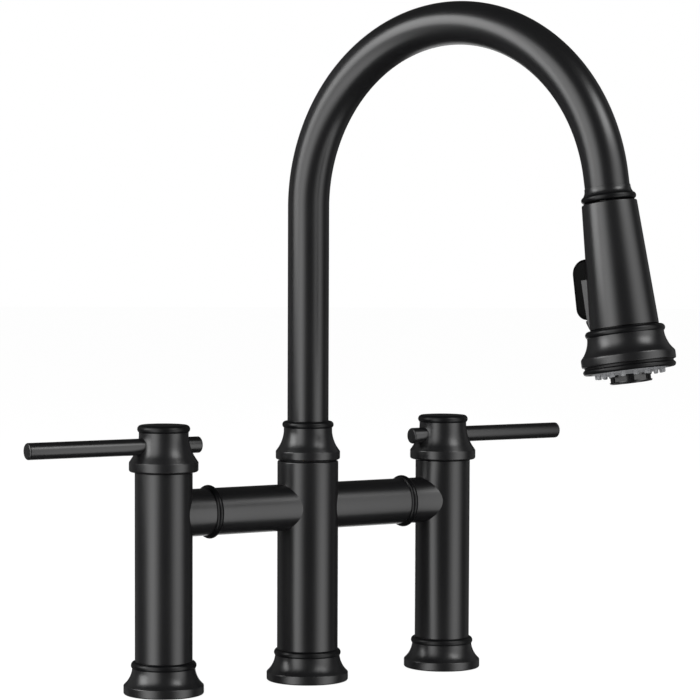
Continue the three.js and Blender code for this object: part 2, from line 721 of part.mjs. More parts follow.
// Flared collar with a bead round the gooseneck's end.
function tipCollar() {
  const beadR = TUBE_R + TIP_BEAD_PROUD;
  const beadCentre = beadR - TIP_BEAD_ROUND;
  const beadStart = 150; // degrees on the bead where the flare runs into it
  const flareEnd = arc(beadCentre, TIP_BEAD, TIP_BEAD_ROUND, -beadStart / 2, 0, 2);
  return turned(
    [
      at(SLEEVE_R, TIP_COLLAR_START),
      ...sweep(
        at(TUBE_R + TIP_COLLAR_START_PROUD, TIP_COLLAR_START),
        at(TUBE_R + TIP_COLLAR_START_PROUD, TIP_STRAIGHT - TIP_BEND_DROP),
        flareEnd[0],
        3,
      ).slice(0, -1),
      ...flareEnd,
      ...arc(beadCentre, TIP_BEAD, TIP_BEAD_ROUND, 0, 90, 2).slice(1),
      at(DOCK_BORE_R + FIT + MAGNET_W + FIT, TIP_COLLAR_END),
      at(DOCK_BORE_R + FIT + MAGNET_W + FIT, TIP_STRAIGHT + FIT),
      at(SLEEVE_R, TIP_STRAIGHT + FIT),
    ],
    BIG_SIDES,
  );
}

const dockSocket = () => tube(DOCK_R, DOCK_BORE_R, DOCK_START, TIP_STRAIGHT, MID_SIDES);

function dockMagnet() {
  const inner = DOCK_BORE_R + FIT;
  return tube(inner + MAGNET_W, inner, TIP_STRAIGHT + FIT, TIP_COLLAR_END, MID_SIDES);
}

// ---------------------------------------------------------------- hose connector and waterway

const CONNECTOR_SHOULDER = HEAD_TOP - FIT;
const CONNECTOR_END = HEAD_TOP + HEAD_LID + CONNECTOR_THREAD;

function hoseConnector() {
  const bodyR = DOCK_BORE_R - FIT;
  return turned(
    [
      at(CONNECTOR_BORE_R, CONNECTOR_START),
      at(CONNECTOR_FERRULE_R, CONNECTOR_START),
      at(CONNECTOR_FERRULE_R, CONNECTOR_START + CONNECTOR_FERRULE_L),
      at(bodyR, CONNECTOR_START + CONNECTOR_FERRULE_L),
      at(bodyR, CONNECTOR_SHOULDER),
      at(CONNECTOR_NECK_R, CONNECTOR_SHOULDER),
      at(CONNECTOR_NECK_R, CONNECTOR_END),
      at(CONNECTOR_BORE_R, CONNECTOR_END),
    ],
    SMALL_SIDES,
  );
}

const catchRing = () => tube(CATCH_RING_R, DOCK_BORE_R, HEAD_TOP, HEAD_TOP + CATCH_RING_H, MID_SIDES);

const SHELF_FOOT = HEAD_BOTTOM + FIT + SKIRT_SHELF;

// The waterway hangs from the connector and opens into a cup over the spray face.
function headCore() {
  const top = HEAD_TOP + HEAD_LID + FIT;
  const foot = SHELF_FOOT + FIT;
  const cupFloor = foot + CORE_FOOT_H + CORE_CUP_WALL;
  return turned(
    [
      at(CONNECTOR_NECK_R + FIT, top),
      at(CORE_HEAD_R, top),
      at(CORE_HEAD_R, top + CORE_HEAD_H),
      at(CORE_R, top + CORE_HEAD_H),
      at(CORE_R, foot),
      at(CORE_FOOT_R, foot),
      at(CORE_FOOT_R, foot + CORE_FOOT_H),
      at(CORE_CUP_R, foot + CORE_FOOT_H),
      at(CORE_CUP_R, FACE_BACK - FIT),
      at(CORE_CUP_R - CORE_CUP_WALL, FACE_BACK - FIT),
      at(CORE_CUP_R - CORE_CUP_WALL, cupFloor),
      at(CORE_BORE_R, cupFloor),
      at(CORE_BORE_R, CONNECTOR_END + FIT),
      at(CONNECTOR_NECK_R + FIT, CONNECTOR_END + FIT),
    ],
    SMALL_SIDES,
  );
}

// ---------------------------------------------------------------- head shell, boss and button

const Xs = new THREE.Vector3(1, 0, 0);
const Ys = new THREE.Vector3(0, 1, 0);
const Zs = new THREE.Vector3(0, 0, 1);

function extruded(outline, depth) {
  return new THREE.ExtrudeGeometry(new THREE.Shape(outline), { depth, bevelEnabled: false });
}

// A side outline of (z, out) points, as wide as halfWidth to both sides in y.
function sideways(outline, halfWidth) {
  const slab = extruded(outline, 2 * halfWidth).translate(0, 0, -halfWidth);
  return solid(slab.applyMatrix4(new THREE.Matrix4().makeBasis(Zs, Xs, Ys)));
}

// A rounded rectangle of (y, z) points, standing outwards in x from one distance to another.
function outwards(halfWidth, start, end, corner, from, to) {
  const outline = [
    ...arc(halfWidth - corner, start + corner, corner, -90, 0, 3),
    ...arc(halfWidth - corner, end - corner, corner, 0, 90, 3),
    ...arc(corner - halfWidth, end - corner, corner, 90, 180, 3),
    ...arc(corner - halfWidth, start + corner, corner, 180, 270, 3),
  ];
  const block = extruded(outline, to - from).translate(0, 0, from);
  return solid(block.applyMatrix4(new THREE.Matrix4().makeBasis(Ys, Zs, Xs)));
}

const HEAD_EDGE = HEAD_TOP + HEAD_CHAMFER;
const headR = (t) => THREE.MathUtils.mapLinear(t, HEAD_EDGE, HEAD_BOTTOM, HEAD_TOP_R, HEAD_BOTTOM_R);
const POCKET_HALF_W = BUTTON_HALF_W + BUTTON_PLAY;
const POCKET_START = BUTTON_START - BUTTON_PLAY;
const POCKET_END = BUTTON_END + BUTTON_FOOT_PLAY;

function headShell() {
  const lidFoot = HEAD_TOP + HEAD_LID;
  const recess = HEAD_TOP + CATCH_RING_H + FIT;
  const shell = turned(
    [
      at(CONNECTOR_NECK_R + FIT, HEAD_TOP),
      at(DOCK_BORE_R - FIT, HEAD_TOP),
      at(DOCK_BORE_R - FIT, recess),
      at(CATCH_RING_R + FIT, recess),
      at(CATCH_RING_R + FIT, HEAD_TOP),
      at(HEAD_TOP_R - HEAD_CHAMFER, HEAD_TOP),
      at(HEAD_TOP_R, HEAD_EDGE),
      at(HEAD_BOTTOM_R, HEAD_BOTTOM),
      at(HEAD_BOTTOM_R - HEAD_WALL, HEAD_BOTTOM),
      at(headR(lidFoot) - HEAD_WALL, lidFoot),
      at(CONNECTOR_NECK_R + FIT, lidFoot),
    ],
    BIG_SIDES,
  );
  const midWall = turned(
    [
      at(0, HEAD_EDGE),
      at(HEAD_TOP_R - HEAD_WALL / 2, HEAD_EDGE),
      at(HEAD_BOTTOM_R - HEAD_WALL / 2, HEAD_BOTTOM),
      at(0, HEAD_BOTTOM),
    ],
    BIG_SIDES,
  );
  const housing = sideways(
    [
      at(POCKET_START - POCKET_WALL, POCKET_OUT - POCKET_WALL),
      at(POCKET_END + POCKET_WALL, POCKET_OUT - POCKET_WALL),
      at(POCKET_END + POCKET_WALL, BOSS_OUT),
      at(POCKET_START - POCKET_WALL, BOSS_OUT),
    ],
    POCKET_HALF_W + POCKET_WALL,
  ).intersect(midWall);
  const pocket = outwards(
    POCKET_HALF_W,
    POCKET_START,
    POCKET_END,
    BUTTON_CORNER + BUTTON_PLAY,
    POCKET_OUT,
    BUTTON_OUT,
  );
  const pinHole = along(rod(PIN_R + FIT, -1, 1, SMALL_SIDES / 2).scale([1, 1, pinHalfLength() + FIT]), "y");
  return shell
    .add(housing)
    .add(boss().subtract(midWall))
    .subtract(pocket)
    .subtract(pinHole.translate([PIN_OUT, 0, PIN_Z]));
}

const pinHalfLength = () => POCKET_HALF_W + PIN_HOLD;

// The boss follows the shell round the button's lower half and ramps down to it below; a narrower
// heel stands on it right under the button's foot.
function boss() {
  const ramp = (out, end) => [
    at(BOSS_START, POCKET_OUT),
    at(end, POCKET_OUT),
    at(end, headR(end) - HEAD_WALL / 4),
    at(POCKET_END, out),
    at(BOSS_START, out),
  ];
  const base = sideways(ramp(BOSS_OUT + 1, BOSS_TAIL), POCKET_HALF_W + BOSS_WALL);
  const heel = sideways(ramp(HEEL_OUT, BOSS_TAIL), HEEL_HALF_W);
  const tapered = turned(
    [
      at(0, BOSS_START),
      at(BOSS_OUT, BOSS_START),
      at(BOSS_OUT, POCKET_END),
      at(headR(BOSS_TAIL), BOSS_TAIL),
      at(0, BOSS_TAIL),
    ],
    BIG_SIDES,
  );
  return base.intersect(tapered).add(heel);
}

// Rest position: pressed at its upper end. The underside falls back from the pin to the foot, so
// that the foot can be pressed by the same angle.
function modeButton() {
  const under = POCKET_OUT + FIT;
  const lift = PIN_AT * Math.tan(radians(BUTTON_ROCK));
  const side = sideways(
    [
      ...arc(BUTTON_START + BUTTON_TOP_ROUND, BUTTON_OUT - BUTTON_TOP_ROUND, BUTTON_TOP_ROUND, 180, 90, 5),
      ...arc(BUTTON_END - BUTTON_FOOT_ROUND, BUTTON_OUT - BUTTON_FOOT_ROUND, BUTTON_FOOT_ROUND, 90, 0, 4),
      at(BUTTON_END, under + lift),
      at(PIN_Z, under),
      at(BUTTON_START, under),
    ].reverse(),
    BUTTON_HALF_W + 1,
  );
  const plan = outwards(BUTTON_HALF_W, BUTTON_START, BUTTON_END, BUTTON_CORNER, 0, BUTTON_OUT + 1);
  const crownR = BUTTON_OUT + BUTTON_CROWN;
  const y = BUTTON_HALF_W - BUTTON_DRAFT - BUTTON_EDGE;
  const x = Math.sqrt((crownR - BUTTON_EDGE) ** 2 - y ** 2);
  const lean = THREE.MathUtils.radToDeg(Math.atan2(y, x));
  const crown = extruded(
    [
      at(0, -BUTTON_HALF_W),
      ...arc(x, -y, BUTTON_EDGE, -90, -lean, 3),
      ...arc(0, 0, crownR, -lean, lean, 4).slice(1, -1),
      ...arc(x, y, BUTTON_EDGE, lean, 90, 3),
      at(0, BUTTON_HALF_W),
    ],
    BUTTON_END - BUTTON_START + 2,
  ).translate(0, 0, BUTTON_START - 1);
  const pinHole = along(rod(PIN_R + FIT, -BUTTON_HALF_W - 1, BUTTON_HALF_W + 1, SMALL_SIDES / 2), "y");
  return side
    .intersect(plan)
    .intersect(solid(crown))
    .subtract(pinHole.translate([PIN_OUT, 0, PIN_Z]));
}

const buttonPin = () =>
  along(rod(PIN_R, -pinHalfLength(), pinHalfLength(), SMALL_SIDES / 2), "y").translate([PIN_OUT, 0, PIN_Z]);

// ---------------------------------------------------------------- skirt, rim, spray face, aerator

function headSkirt() {
  const top = HEAD_BOTTOM + FIT;
  const spigotR = HEAD_BOTTOM_R - HEAD_WALL - FIT - (headR(top) - headR(top - SKIRT_SPIGOT_H));
  const beadCentre = HEAD_BOTTOM_R + SKIRT_BEAD_PROUD - SKIRT_BEAD_ROUND;
  const neckR = HEAD_BOTTOM_R + SKIRT_NECK_PROUD;
  const mouthR = SKIRT_R - SKIRT_WALL;
  return turned(
    [
      at(spigotR - SKIRT_SPIGOT_W, top - SKIRT_SPIGOT_H),
      at(spigotR, top - SKIRT_SPIGOT_H),
      at(spigotR, top),
      at(beadCentre - SKIRT_BEAD_ROUND, top),
      ...arc(beadCentre, SKIRT_BEAD, SKIRT_BEAD_ROUND, -90, 0, 2),
      ...bead(beadCentre, SKIRT_BEAD, SKIRT_BEAD_ROUND, beadCentre + SKIRT_BEAD_ROUND, neckR, 2).slice(1),
      ...sweep(
        at(neckR, SKIRT_BEAD + SKIRT_BEAD_ROUND + FIT),
        at(neckR + FIT, HEAD_BOTTOM + SKIRT_BEND_AT),
        at(SKIRT_R, SKIRT_CORNER),
        4,
      ),
      ...arc(SKIRT_R - SKIRT_EDGE, SKIRT_END - SKIRT_EDGE, SKIRT_EDGE, 0, 90, 1),
      at(mouthR, SKIRT_END),
      at(mouthR, FACE_BACK - FIT),
      at(mouthR - SKIRT_STEP, FACE_BACK - FIT),
      at(mouthR - SKIRT_STEP, SKIRT_CORNER),
      at(neckR - SKIRT_WALL, SHELF_FOOT),
      at(spigotR - SKIRT_SPIGOT_W, SHELF_FOOT),
    ],
    BIG_SIDES,
  );
}

function headRimRing() {
  const waistR = SKIRT_R - RIM_WAIST_IN;
  const beadCentre = waistR + RIM_BEAD_PROUD - RIM_BEAD_ROUND;
  return turned(
    [
      at(FACE_R + FIT, SKIRT_END + FIT),
      at(waistR, SKIRT_END + FIT),
      ...bead(beadCentre, RIM_BEAD, RIM_BEAD_ROUND, waistR, beadCentre, 3),
      at(FACE_R + FIT, RIM_BEAD + RIM_BEAD_ROUND),
    ],
    BIG_SIDES,
  );
}

// The shallow cone of soft nozzles round the aerator.
function sprayFace() {
  const inner = AERATOR_R + FIT;
  const flangeR = SKIRT_R - SKIRT_WALL - FIT;
  let face = turned(
    [
      at(inner, FACE_BACK),
      at(flangeR, FACE_BACK),
      at(flangeR, SKIRT_END),
      at(FACE_R, SKIRT_END),
      at(FACE_R, FACE_EDGE),
      at(inner, FACE_CENTRE),
    ],
    BIG_SIDES,
  );
  for (const { count, r } of [OUTER_NOZZLES, INNER_NOZZLES]) {
    const nozzle = rod(NOZZLE_R, (FACE_BACK + FACE_EDGE) / 2, NOZZLE_TIP, NOZZLE_SIDES).translate([r, 0, 0]);
    for (let i = 0; i < count; i++) face = face.add(nozzle.rotate([0, 0, (360 * (i + 0.5)) / count]));
  }
  return face;
}

function aerator() {
  const lipR = AERATOR_R - AERATOR_RIM;
  const body = turned(
    [
      at(0, AERATOR_START),
      at(AERATOR_R, AERATOR_START),
      ...arc(AERATOR_R - AERATOR_EDGE, AERATOR_END - AERATOR_EDGE, AERATOR_EDGE, 0, 90, 1),
      at(lipR, AERATOR_END),
      at(lipR, AERATOR_END - AERATOR_RECESS),
      at(0, AERATOR_END - AERATOR_RECESS),
    ],
    MID_SIDES,
  );
  const window = box(AERATOR_R, 0, AERATOR_END - WINDOW_AT, 2 * WINDOW_DEPTH, WINDOW_W, WINDOW_H);
  let cut = body;
  for (let i = 0; i < WINDOW_COUNT; i++) {
    cut = cut.subtract(window.rotate([0, 0, (360 * (i + 0.5)) / WINDOW_COUNT]));
  }
  return cut;
}

// ---------------------------------------------------------------- assembly

const faucet = new THREE.Group();
faucet.name = "bridge_kitchen_faucet";

for (const [side, sign] of [
  ["left", -1],
  ["right", 1],
]) {
  const towardsCentre = sign < 0 ? 0 : Math.PI;

  const column = new THREE.Group();
  column.position.x = sign * OUTER_X;
  column.add(
    piece(`${side}_base_flange`, flange(POST_R, OUTER_FLANGE), BLACK_COAT),
    piece(`${side}_deck_gasket`, gasket(POST_R), RUBBER),
    piece(`${side}_valve_cartridge`, cartridge(), BRASS),
    piece(`${side}_cartridge_nut`, cartridgeNut(), BRASS),
    piece(`${side}_handle_hub`, handleHub(), BLACK_COAT),
    piece(`${side}_valve_stem`, valveStem(), BRASS),
  );
  const postMesh = piece(`${side}_valve_post`, valvePost(), BLACK_COAT);
  postMesh.rotation.z = towardsCentre;
  const leverMesh = piece(`${side}_lever`, lever(), BLACK_COAT);
  leverMesh.rotation.z = Math.PI - towardsCentre;
  const screwStart = STEM_R - STEM_FLAT + FIT;
  const screw = grubScrew(SCREW_R, screwStart, HUB_R - SCREW_SUNK, HUB_FOOT + SCREW_Z);
  column.add(postMesh, leverMesh, piece(`${side}_set_screw`, screw, STEEL));

  const arm = new THREE.Group();
  arm.rotation.z = towardsCentre;
  const ring = piece(`${side}_bridge_ring`, coverRing(), BLACK_COAT);
  ring.position.set(STUB_REACH - OUTER_X, 0, BRIDGE_Z);
  arm.add(
    piece(`${side}_bridge_tube`, bridgeTube(), BLACK_COAT),
    piece(`${side}_bridge_o_ring`, bridgeSeal(), RUBBER),
    ring,
  );
  faucet.add(column, arm);
}

faucet.add(
  piece("centre_base_flange", flange(CENTRE_R, CENTRE_FLANGE), BLACK_COAT),
  piece("centre_deck_gasket", gasket(CENTRE_R), RUBBER),
  piece("centre_post", centrePost(), BLACK_COAT),
  piece("mixing_manifold", mixingManifold(), BRASS),
  piece("swivel_washer", swivelWasher(), MATTE_PLASTIC),
  piece(
    "spout_lock_screw",
    grubScrew(LOCK_SCREW_R, SHANK_R - GROOVE_DEPTH + FIT, CENTRE_R - SCREW_SUNK, LOCK_Z),
    STEEL,
  ),
);

const spout = new THREE.Group();
spout.rotation.z = radians(SPOUT_TURN - 90);
spout.add(
  piece("spout_collar", spoutCollar(), BLACK_COAT),
  piece("gooseneck", gooseneck(), BLACK_COAT),
  piece("spout_shank", spoutShank(), BRASS),
  piece("spout_o_ring", spoutSeal(), RUBBER),
  piece("spray_hose", hose(), NYLON_BRAID),
);

const tip = new THREE.Group();
const bendEnd = radians(BEND_ANGLE);
tip.position.set(BEND_R * (1 - Math.cos(bendEnd)), 0, LEG_TOP + BEND_R * Math.sin(bendEnd));
tip.rotation.y = bendEnd;
tip.add(
  piece("spout_tip_collar", tipCollar(), BLACK_COAT),
  piece("dock_socket", dockSocket(), MATTE_PLASTIC),
  piece("dock_magnet", dockMagnet(), STEEL),
  piece("hose_connector", hoseConnector(), STEEL),
  piece("catch_ring", catchRing(), STEEL),
  piece("head_core", headCore(), MATTE_PLASTIC),
  piece("head_shell", headShell(), BLACK_COAT),
  piece("head_skirt", headSkirt(), BLACK_COAT),
  piece("head_rim_ring", headRimRing(), BLACK_COAT),
  piece("spray_face", sprayFace(), GREY_SILICONE),
  piece("aerator", aerator(), GLOSS_PLASTIC),
  piece("button_pin", buttonPin(), STEEL),
  piece("mode_button", modeButton(), GLOSS_PLASTIC),
);
spout.add(tip);
faucet.add(spout);

export default faucet;
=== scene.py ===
import math

import bmesh
import bpy
from mathutils import Matrix, Vector


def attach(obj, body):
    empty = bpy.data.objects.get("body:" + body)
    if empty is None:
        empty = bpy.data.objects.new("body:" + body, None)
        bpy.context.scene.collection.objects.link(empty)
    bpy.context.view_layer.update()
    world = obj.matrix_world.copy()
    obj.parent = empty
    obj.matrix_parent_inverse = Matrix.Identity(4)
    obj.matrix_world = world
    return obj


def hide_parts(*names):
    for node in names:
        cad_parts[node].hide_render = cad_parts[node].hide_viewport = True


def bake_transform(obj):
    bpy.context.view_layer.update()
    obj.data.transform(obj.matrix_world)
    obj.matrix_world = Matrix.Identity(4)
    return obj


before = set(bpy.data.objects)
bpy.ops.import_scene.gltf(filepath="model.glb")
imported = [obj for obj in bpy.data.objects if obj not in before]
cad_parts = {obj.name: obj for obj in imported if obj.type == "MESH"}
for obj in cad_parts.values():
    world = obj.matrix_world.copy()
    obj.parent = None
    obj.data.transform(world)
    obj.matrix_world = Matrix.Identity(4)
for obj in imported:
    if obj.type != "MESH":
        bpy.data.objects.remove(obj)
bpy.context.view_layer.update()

# ---- Camera ----
# The photograph's viewpoint: about 1.6 m away on the faucet's left front, a little above the
# bridge and looking slightly down, with a long lens.
CAMERA_PLACE = (-0.84427, -1.35245, 0.26194)
CAMERA_YAW = math.radians(31.796)
CAMERA_PITCH = math.radians(3.164)
CAMERA_ROLL = math.radians(0.156)
FOCAL_PIXELS = 2584.2
FRAME_PIXELS = 700
LENS_CENTRE = (300, 400)  # the pixel that the lens looks straight at
SENSOR_MM = 36

camera = bpy.data.objects.new("camera", bpy.data.cameras.new("camera"))
bpy.context.scene.collection.objects.link(camera)
bpy.context.scene.camera = camera
camera.matrix_world = (
    Matrix.Translation(CAMERA_PLACE)
    @ Matrix.Rotation(-CAMERA_YAW, 4, "Z")
    @ Matrix.Rotation(math.pi / 2 - CAMERA_PITCH, 4, "X")
    @ Matrix.Rotation(CAMERA_ROLL, 4, "Z")
)
camera.data.sensor_width = SENSOR_MM
camera.data.lens = FOCAL_PIXELS / FRAME_PIXELS * SENSOR_MM
camera.data.shift_x = 0.5 - LENS_CENTRE[0] / FRAME_PIXELS
camera.data.shift_y = LENS_CENTRE[1] / FRAME_PIXELS - 0.5

# ---- Floor, backdrop and light ----
# A white studio: tall soft boxes stand to the left and right of the camera with a dark gap
# between them, which draws the two long light bands on each upright tube. The floor and the
# backdrop show as white paper.
PAPER = 0.82  # the share of light that the floor throws back
PAPER_GLOW = 1.12  # the strength at which the camera sees its white
SHADOW_SHARE = 0.16  # how much of the floor's own light and shade shows
BACKDROP_IN_GLOSS = 0.05
BACKDROP_IN_SHADE = 0.35
FLOOR_R = 12
FLOOR_Z = -0.0005
LIGHT_FOOT = -0.3  # a soft box grows brighter or darker from this height
LIGHT_TOP = 0.9  # to this one

bpy.context.scene.view_settings.view_transform = "Standard"


def add_node(tree, kind, inputs=(), **settings):
    """Adds a shader node; each input is a (socket, value) pair, and a socket as value is
    linked."""
    node = tree.nodes.new(kind)
    for key, value in settings.items():
        setattr(node, key, value)
    for socket, value in inputs:
        if isinstance(value, bpy.types.NodeSocket):
            tree.links.new(value, node.inputs[socket])
        else:
            node.inputs[socket].default_value = value
    return node


world = bpy.data.worlds.new("studio")
bpy.context.scene.world = world
world.use_nodes = True
world.node_tree.nodes.clear()
path = add_node(world.node_tree, "ShaderNodeLightPath")
shown = add_node(
    world.node_tree,
    "ShaderNodeMath",
    [(0, path.outputs["Is Camera Ray"]), (1, path.outputs["Is Transmission Ray"])],
    operation="ADD",
)
gloss = add_node(
    world.node_tree,
    "ShaderNodeMath",
    [(0, path.outputs["Is Glossy Ray"]), (1, BACKDROP_IN_GLOSS), (2, shown.outputs[0])],
    operation="MULTIPLY_ADD",
)
soft = add_node(
    world.node_tree,
    "ShaderNodeMath",
    [(0, path.outputs["Is Diffuse Ray"]), (1, BACKDROP_IN_SHADE), (2, gloss.outputs[0])],
    operation="MULTIPLY_ADD",
)
sky = add_node(
    world.node_tree,
    "ShaderNodeBackground",
    [("Color", (1, 1, 1, 1)), ("Strength", soft.outputs[0])],
)
add_node(world.node_tree, "ShaderNodeOutputWorld", [("Surface", sky.outputs[0])])

paper = bpy.data.materials.new("white studio paper")
paper.use_nodes = True
paper.node_tree.nodes.clear()
path = add_node(paper.node_tree, "ShaderNodeLightPath")
lit = add_node(paper.node_tree, "ShaderNodeBsdfDiffuse", [("Color", (PAPER, PAPER, PAPER, 1))])
white = add_node(paper.node_tree, "ShaderNodeEmission", [("Strength", PAPER_GLOW)])
bright = add_node(
    paper.node_tree,
    "ShaderNodeMath",
    [(0, path.outputs["Is Camera Ray"]), (1, 1 - SHADOW_SHARE)],
    operation="MULTIPLY",
)
mixed = add_node(
    paper.node_tree,
    "ShaderNodeMixShader",
    [(0, bright.outputs[0]), (1, lit.outputs[0]), (2, white.outputs[0])],
)
add_node(paper.node_tree, "ShaderNodeOutputMaterial", [("Surface", mixed.outputs[0])])

bm = bmesh.new()
bmesh.ops.create_circle(bm, cap_ends=True, segments=64, radius=FLOOR_R)
floor_mesh = bpy.data.meshes.new("floor")
bm.to_mesh(floor_mesh)
bm.free()
floor = bpy.data.objects.new("floor", floor_mesh)
floor.location.z = FLOOR_Z
floor.data.materials.append(paper)
floor.visible_glossy = False
floor.visible_shadow = False
bpy.context.scene.collection.objects.link(floor)


def soft_box(name, bearing, distance, height, width, tall, power, low=1, high=1, edge=1):
    """A lamp at a bearing from the camera's own line, in degrees to its right, that faces the
    faucet. Its brightness rises from low to high between two heights, and falls to a share of
    it, edge, from its upright middle to both sides."""
    lamp = bpy.data.lights.new(name, "AREA")
    lamp.shape = "RECTANGLE"
    lamp.size = width
    lamp.size_y = tall
    lamp.energy = power
    lamp.use_nodes = True
    turn = CAMERA_YAW + math.pi - math.radians(bearing)
    spot = add_node(lamp.node_tree, "ShaderNodeNewGeometry")
    rise = add_node(lamp.node_tree, "ShaderNodeSeparateXYZ", [(0, spot.outputs["Position"])])
    fade = add_node(
        lamp.node_tree,
        "ShaderNodeMapRange",
        [
            ("Value", rise.outputs["Z"]),
            ("From Min", LIGHT_FOOT),
            ("From Max", LIGHT_TOP),
            ("To Min", low),
            ("To Max", high),
        ],
    )
    aside = add_node(
        lamp.node_tree,
        "ShaderNodeVectorMath",
        [(0, spot.outputs["Position"]), (1, (math.cos(turn), -math.sin(turn), 0))],
        operation="DOT_PRODUCT",
    )
    off = add_node(
        lamp.node_tree, "ShaderNodeMath", [(0, aside.outputs["Value"])], operation="ABSOLUTE"
    )
    soften = add_node(
        lamp.node_tree,
        "ShaderNodeMapRange",
        [("Value", off.outputs[0]), ("From Max", width / 2), ("To Min", 1), ("To Max", edge)],
        interpolation_type="SMOOTHSTEP",
    )
    both = add_node(
        lamp.node_tree,
        "ShaderNodeMath",
        [(0, fade.outputs[0]), (1, soften.outputs[0])],
        operation="MULTIPLY",
    )
    lamp.node_tree.links.new(
        both.outputs[0], lamp.node_tree.nodes["Emission"].inputs["Strength"]
    )
    box = bpy.data.objects.new(name, lamp)
    box.location = (distance * math.sin(turn), distance * math.cos(turn), height)
    aim = Vector((0, 0, height)) - box.location
    box.rotation_euler = aim.to_track_quat("-Z", "Y").to_euler()
    bpy.context.scene.collection.objects.link(box)


soft_box("left soft box", -43, 1.5, 0.15, 1.9, 2.9, power=75, low=0.85, high=0.85, edge=0)
soft_box("right soft box", 57, 1.5, 0.3, 2.1, 3.2, power=63, low=0.95, high=0.85, edge=0)
soft_box("side soft box", -75, 1.5, 0.8, 0.75, 1.1, power=19, low=0.3)
soft_box("upper right soft box", 54, 1.5, 1.5, 0.9, 0.8, power=11)
soft_box("left rear soft box", -128, 2, 0.3, 1.2, 2.6, power=1.2)
soft_box("right rear soft box", 128, 2, 0.3, 1.2, 2.6, power=1.2)
soft_box("rear soft box", 180, 2, -0.65, 0.8, 1.3, power=3.5)

# ---- Deck flanges ----
# Each post stands in a brass flange: a low band on the deck, a concave flare and a bead round
# the post. Turned on a lathe and coated like the whole body.
POST_SPACING = 101.6
POST_R = 17.35
CENTRE_R = 18.85
FIT = 0.05  # the gap between a ring and what it sits on
GASKET_H = 1.9
GASKET_REACH = 3.6
FLANGE_BAND_H = 5.2
FLARE_Z = 9.8
FLARE_ROUND = 4.4
BEAD_FOOT = 15.56
BEAD_Z = 17.2
BEAD_TOP = BEAD_Z + 2.43
BEAD_ROUND = 2.45
LATHE_STEPS = 96
ARC_STEPS = 10
CORNER_STEPS = 8

MM = Matrix.Scale(0.001, 4)  # every size from here on is in millimetres


def linear(code):
    """An sRGB hex colour as a linear one."""
    channels = [int(code[i : i + 2], 16) / 255 for i in (1, 3, 5)]
    return [c / 12.92 if c <= 0.04045 else ((c + 0.055) / 1.055) ** 2.4 for c in channels] + [1]


def surface(
    name,
    colours,
    roughnesses,
    metallic=0,
    patch_mm=60,
    grain_mm=1,
    grain_depth_mm=0.002,
    stretch=(1, 1, 1),
    **inputs,
):
    """A material whose sizes are the real ones in millimetres: its colour and its roughness
    drift between two values in soft patches, and a fine grain gives the bump. A stretch
    below 1 draws the grain out along that axis, as a cutting tool does."""
    material = bpy.data.materials.new(name)
    material.use_nodes = True
    tree = material.node_tree
    shader = tree.nodes["Principled BSDF"]
    shader.inputs["Metallic"].default_value = metallic
    for socket, value in inputs.items():
        shader.inputs[socket.replace("_", " ")].default_value = value
    place = add_node(tree, "ShaderNodeTexCoord").outputs["Object"]
    patches = add_node(
        tree,
        "ShaderNodeTexNoise",
        [("Vector", place), ("Scale", 1000 / patch_mm), ("Detail", 1)],
    )
    drift = add_node(
        tree,
        "ShaderNodeMapRange",
        [("Value", patches.outputs[0]), ("From Min", 0.35), ("From Max", 0.65)],
    )
    tint = add_node(
        tree,
        "ShaderNodeMix",
        [(0, drift.outputs[0]), (6, linear(colours[0])), (7, linear(colours[1]))],
        data_type="RGBA",
    )
    sheen = add_node(
        tree,
        "ShaderNodeMapRange",
        [("Value", drift.outputs[0]), ("To Min", roughnesses[0]), ("To Max", roughnesses[1])],
    )
    drawn = add_node(tree, "ShaderNodeMapping", [("Vector", place), ("Scale", stretch)])
    grain = add_node(
        tree,
        "ShaderNodeTexNoise",
        [("Vector", drawn.outputs[0]), ("Scale", 1000 / grain_mm), ("Detail", 1)],
    )
    bump = add_node(
        tree,
        "ShaderNodeBump",
        [("Height", grain.outputs[0]), ("Distance", grain_depth_mm / 1000), ("Strength", 1)],
    )
    tree.links.new(tint.outputs[2], shader.inputs["Base Color"])
    tree.links.new(sheen.outputs[0], shader.inputs["Roughness"])
    tree.links.new(bump.outputs[0], shader.inputs["Normal"])
    return material


# Powder coat over brass: satin black, whose faint orange peel breaks up the edges of the two
# long reflections.
powder_coat = surface(
    "satin black powder coat",
    ("#0d0d0e", "#0f0f10"),
    (0.28, 0.31),
    grain_mm=0.9,
)
# The beads and rings are the same powder coat as the body. This copy of it has a darker
# colour and weaker reflections: painted shade for the dark look of their tight curves.
painted_shade_coat = surface(
    "powder coat darkened with painted shade",
    ("#050506", "#080809"),
    (0.3, 0.36),
    grain_mm=1.5,
    Specular_IOR_Level=0.22,
)
# Moulded nitrile rubber: dull and almost black, with a dusty bloom.
black_rubber = surface(
    "moulded nitrile rubber",
    ("#191919", "#202020"),
    (0.62, 0.8),
    grain_mm=0.5,
    grain_depth_mm=0.01,
)


def arc(bm, r, z, radius, start, end):
    """An arc of edges in the XZ plane about (r, z), by angles in degrees; returns its first and
    last vertex."""
    angle = math.radians(start)
    first = bm.verts.new((r + radius * math.cos(angle), 0, z + radius * math.sin(angle)))
    swung = bmesh.ops.spin(
        bm,
        geom=[first],
        cent=(r, 0, z),
        axis=(0, -1, 0),
        angle=math.radians(end - start),
        steps=ARC_STEPS,
    )
    last = [v for v in swung["geom_last"] if isinstance(v, bmesh.types.BMVert)][0]
    return first, last


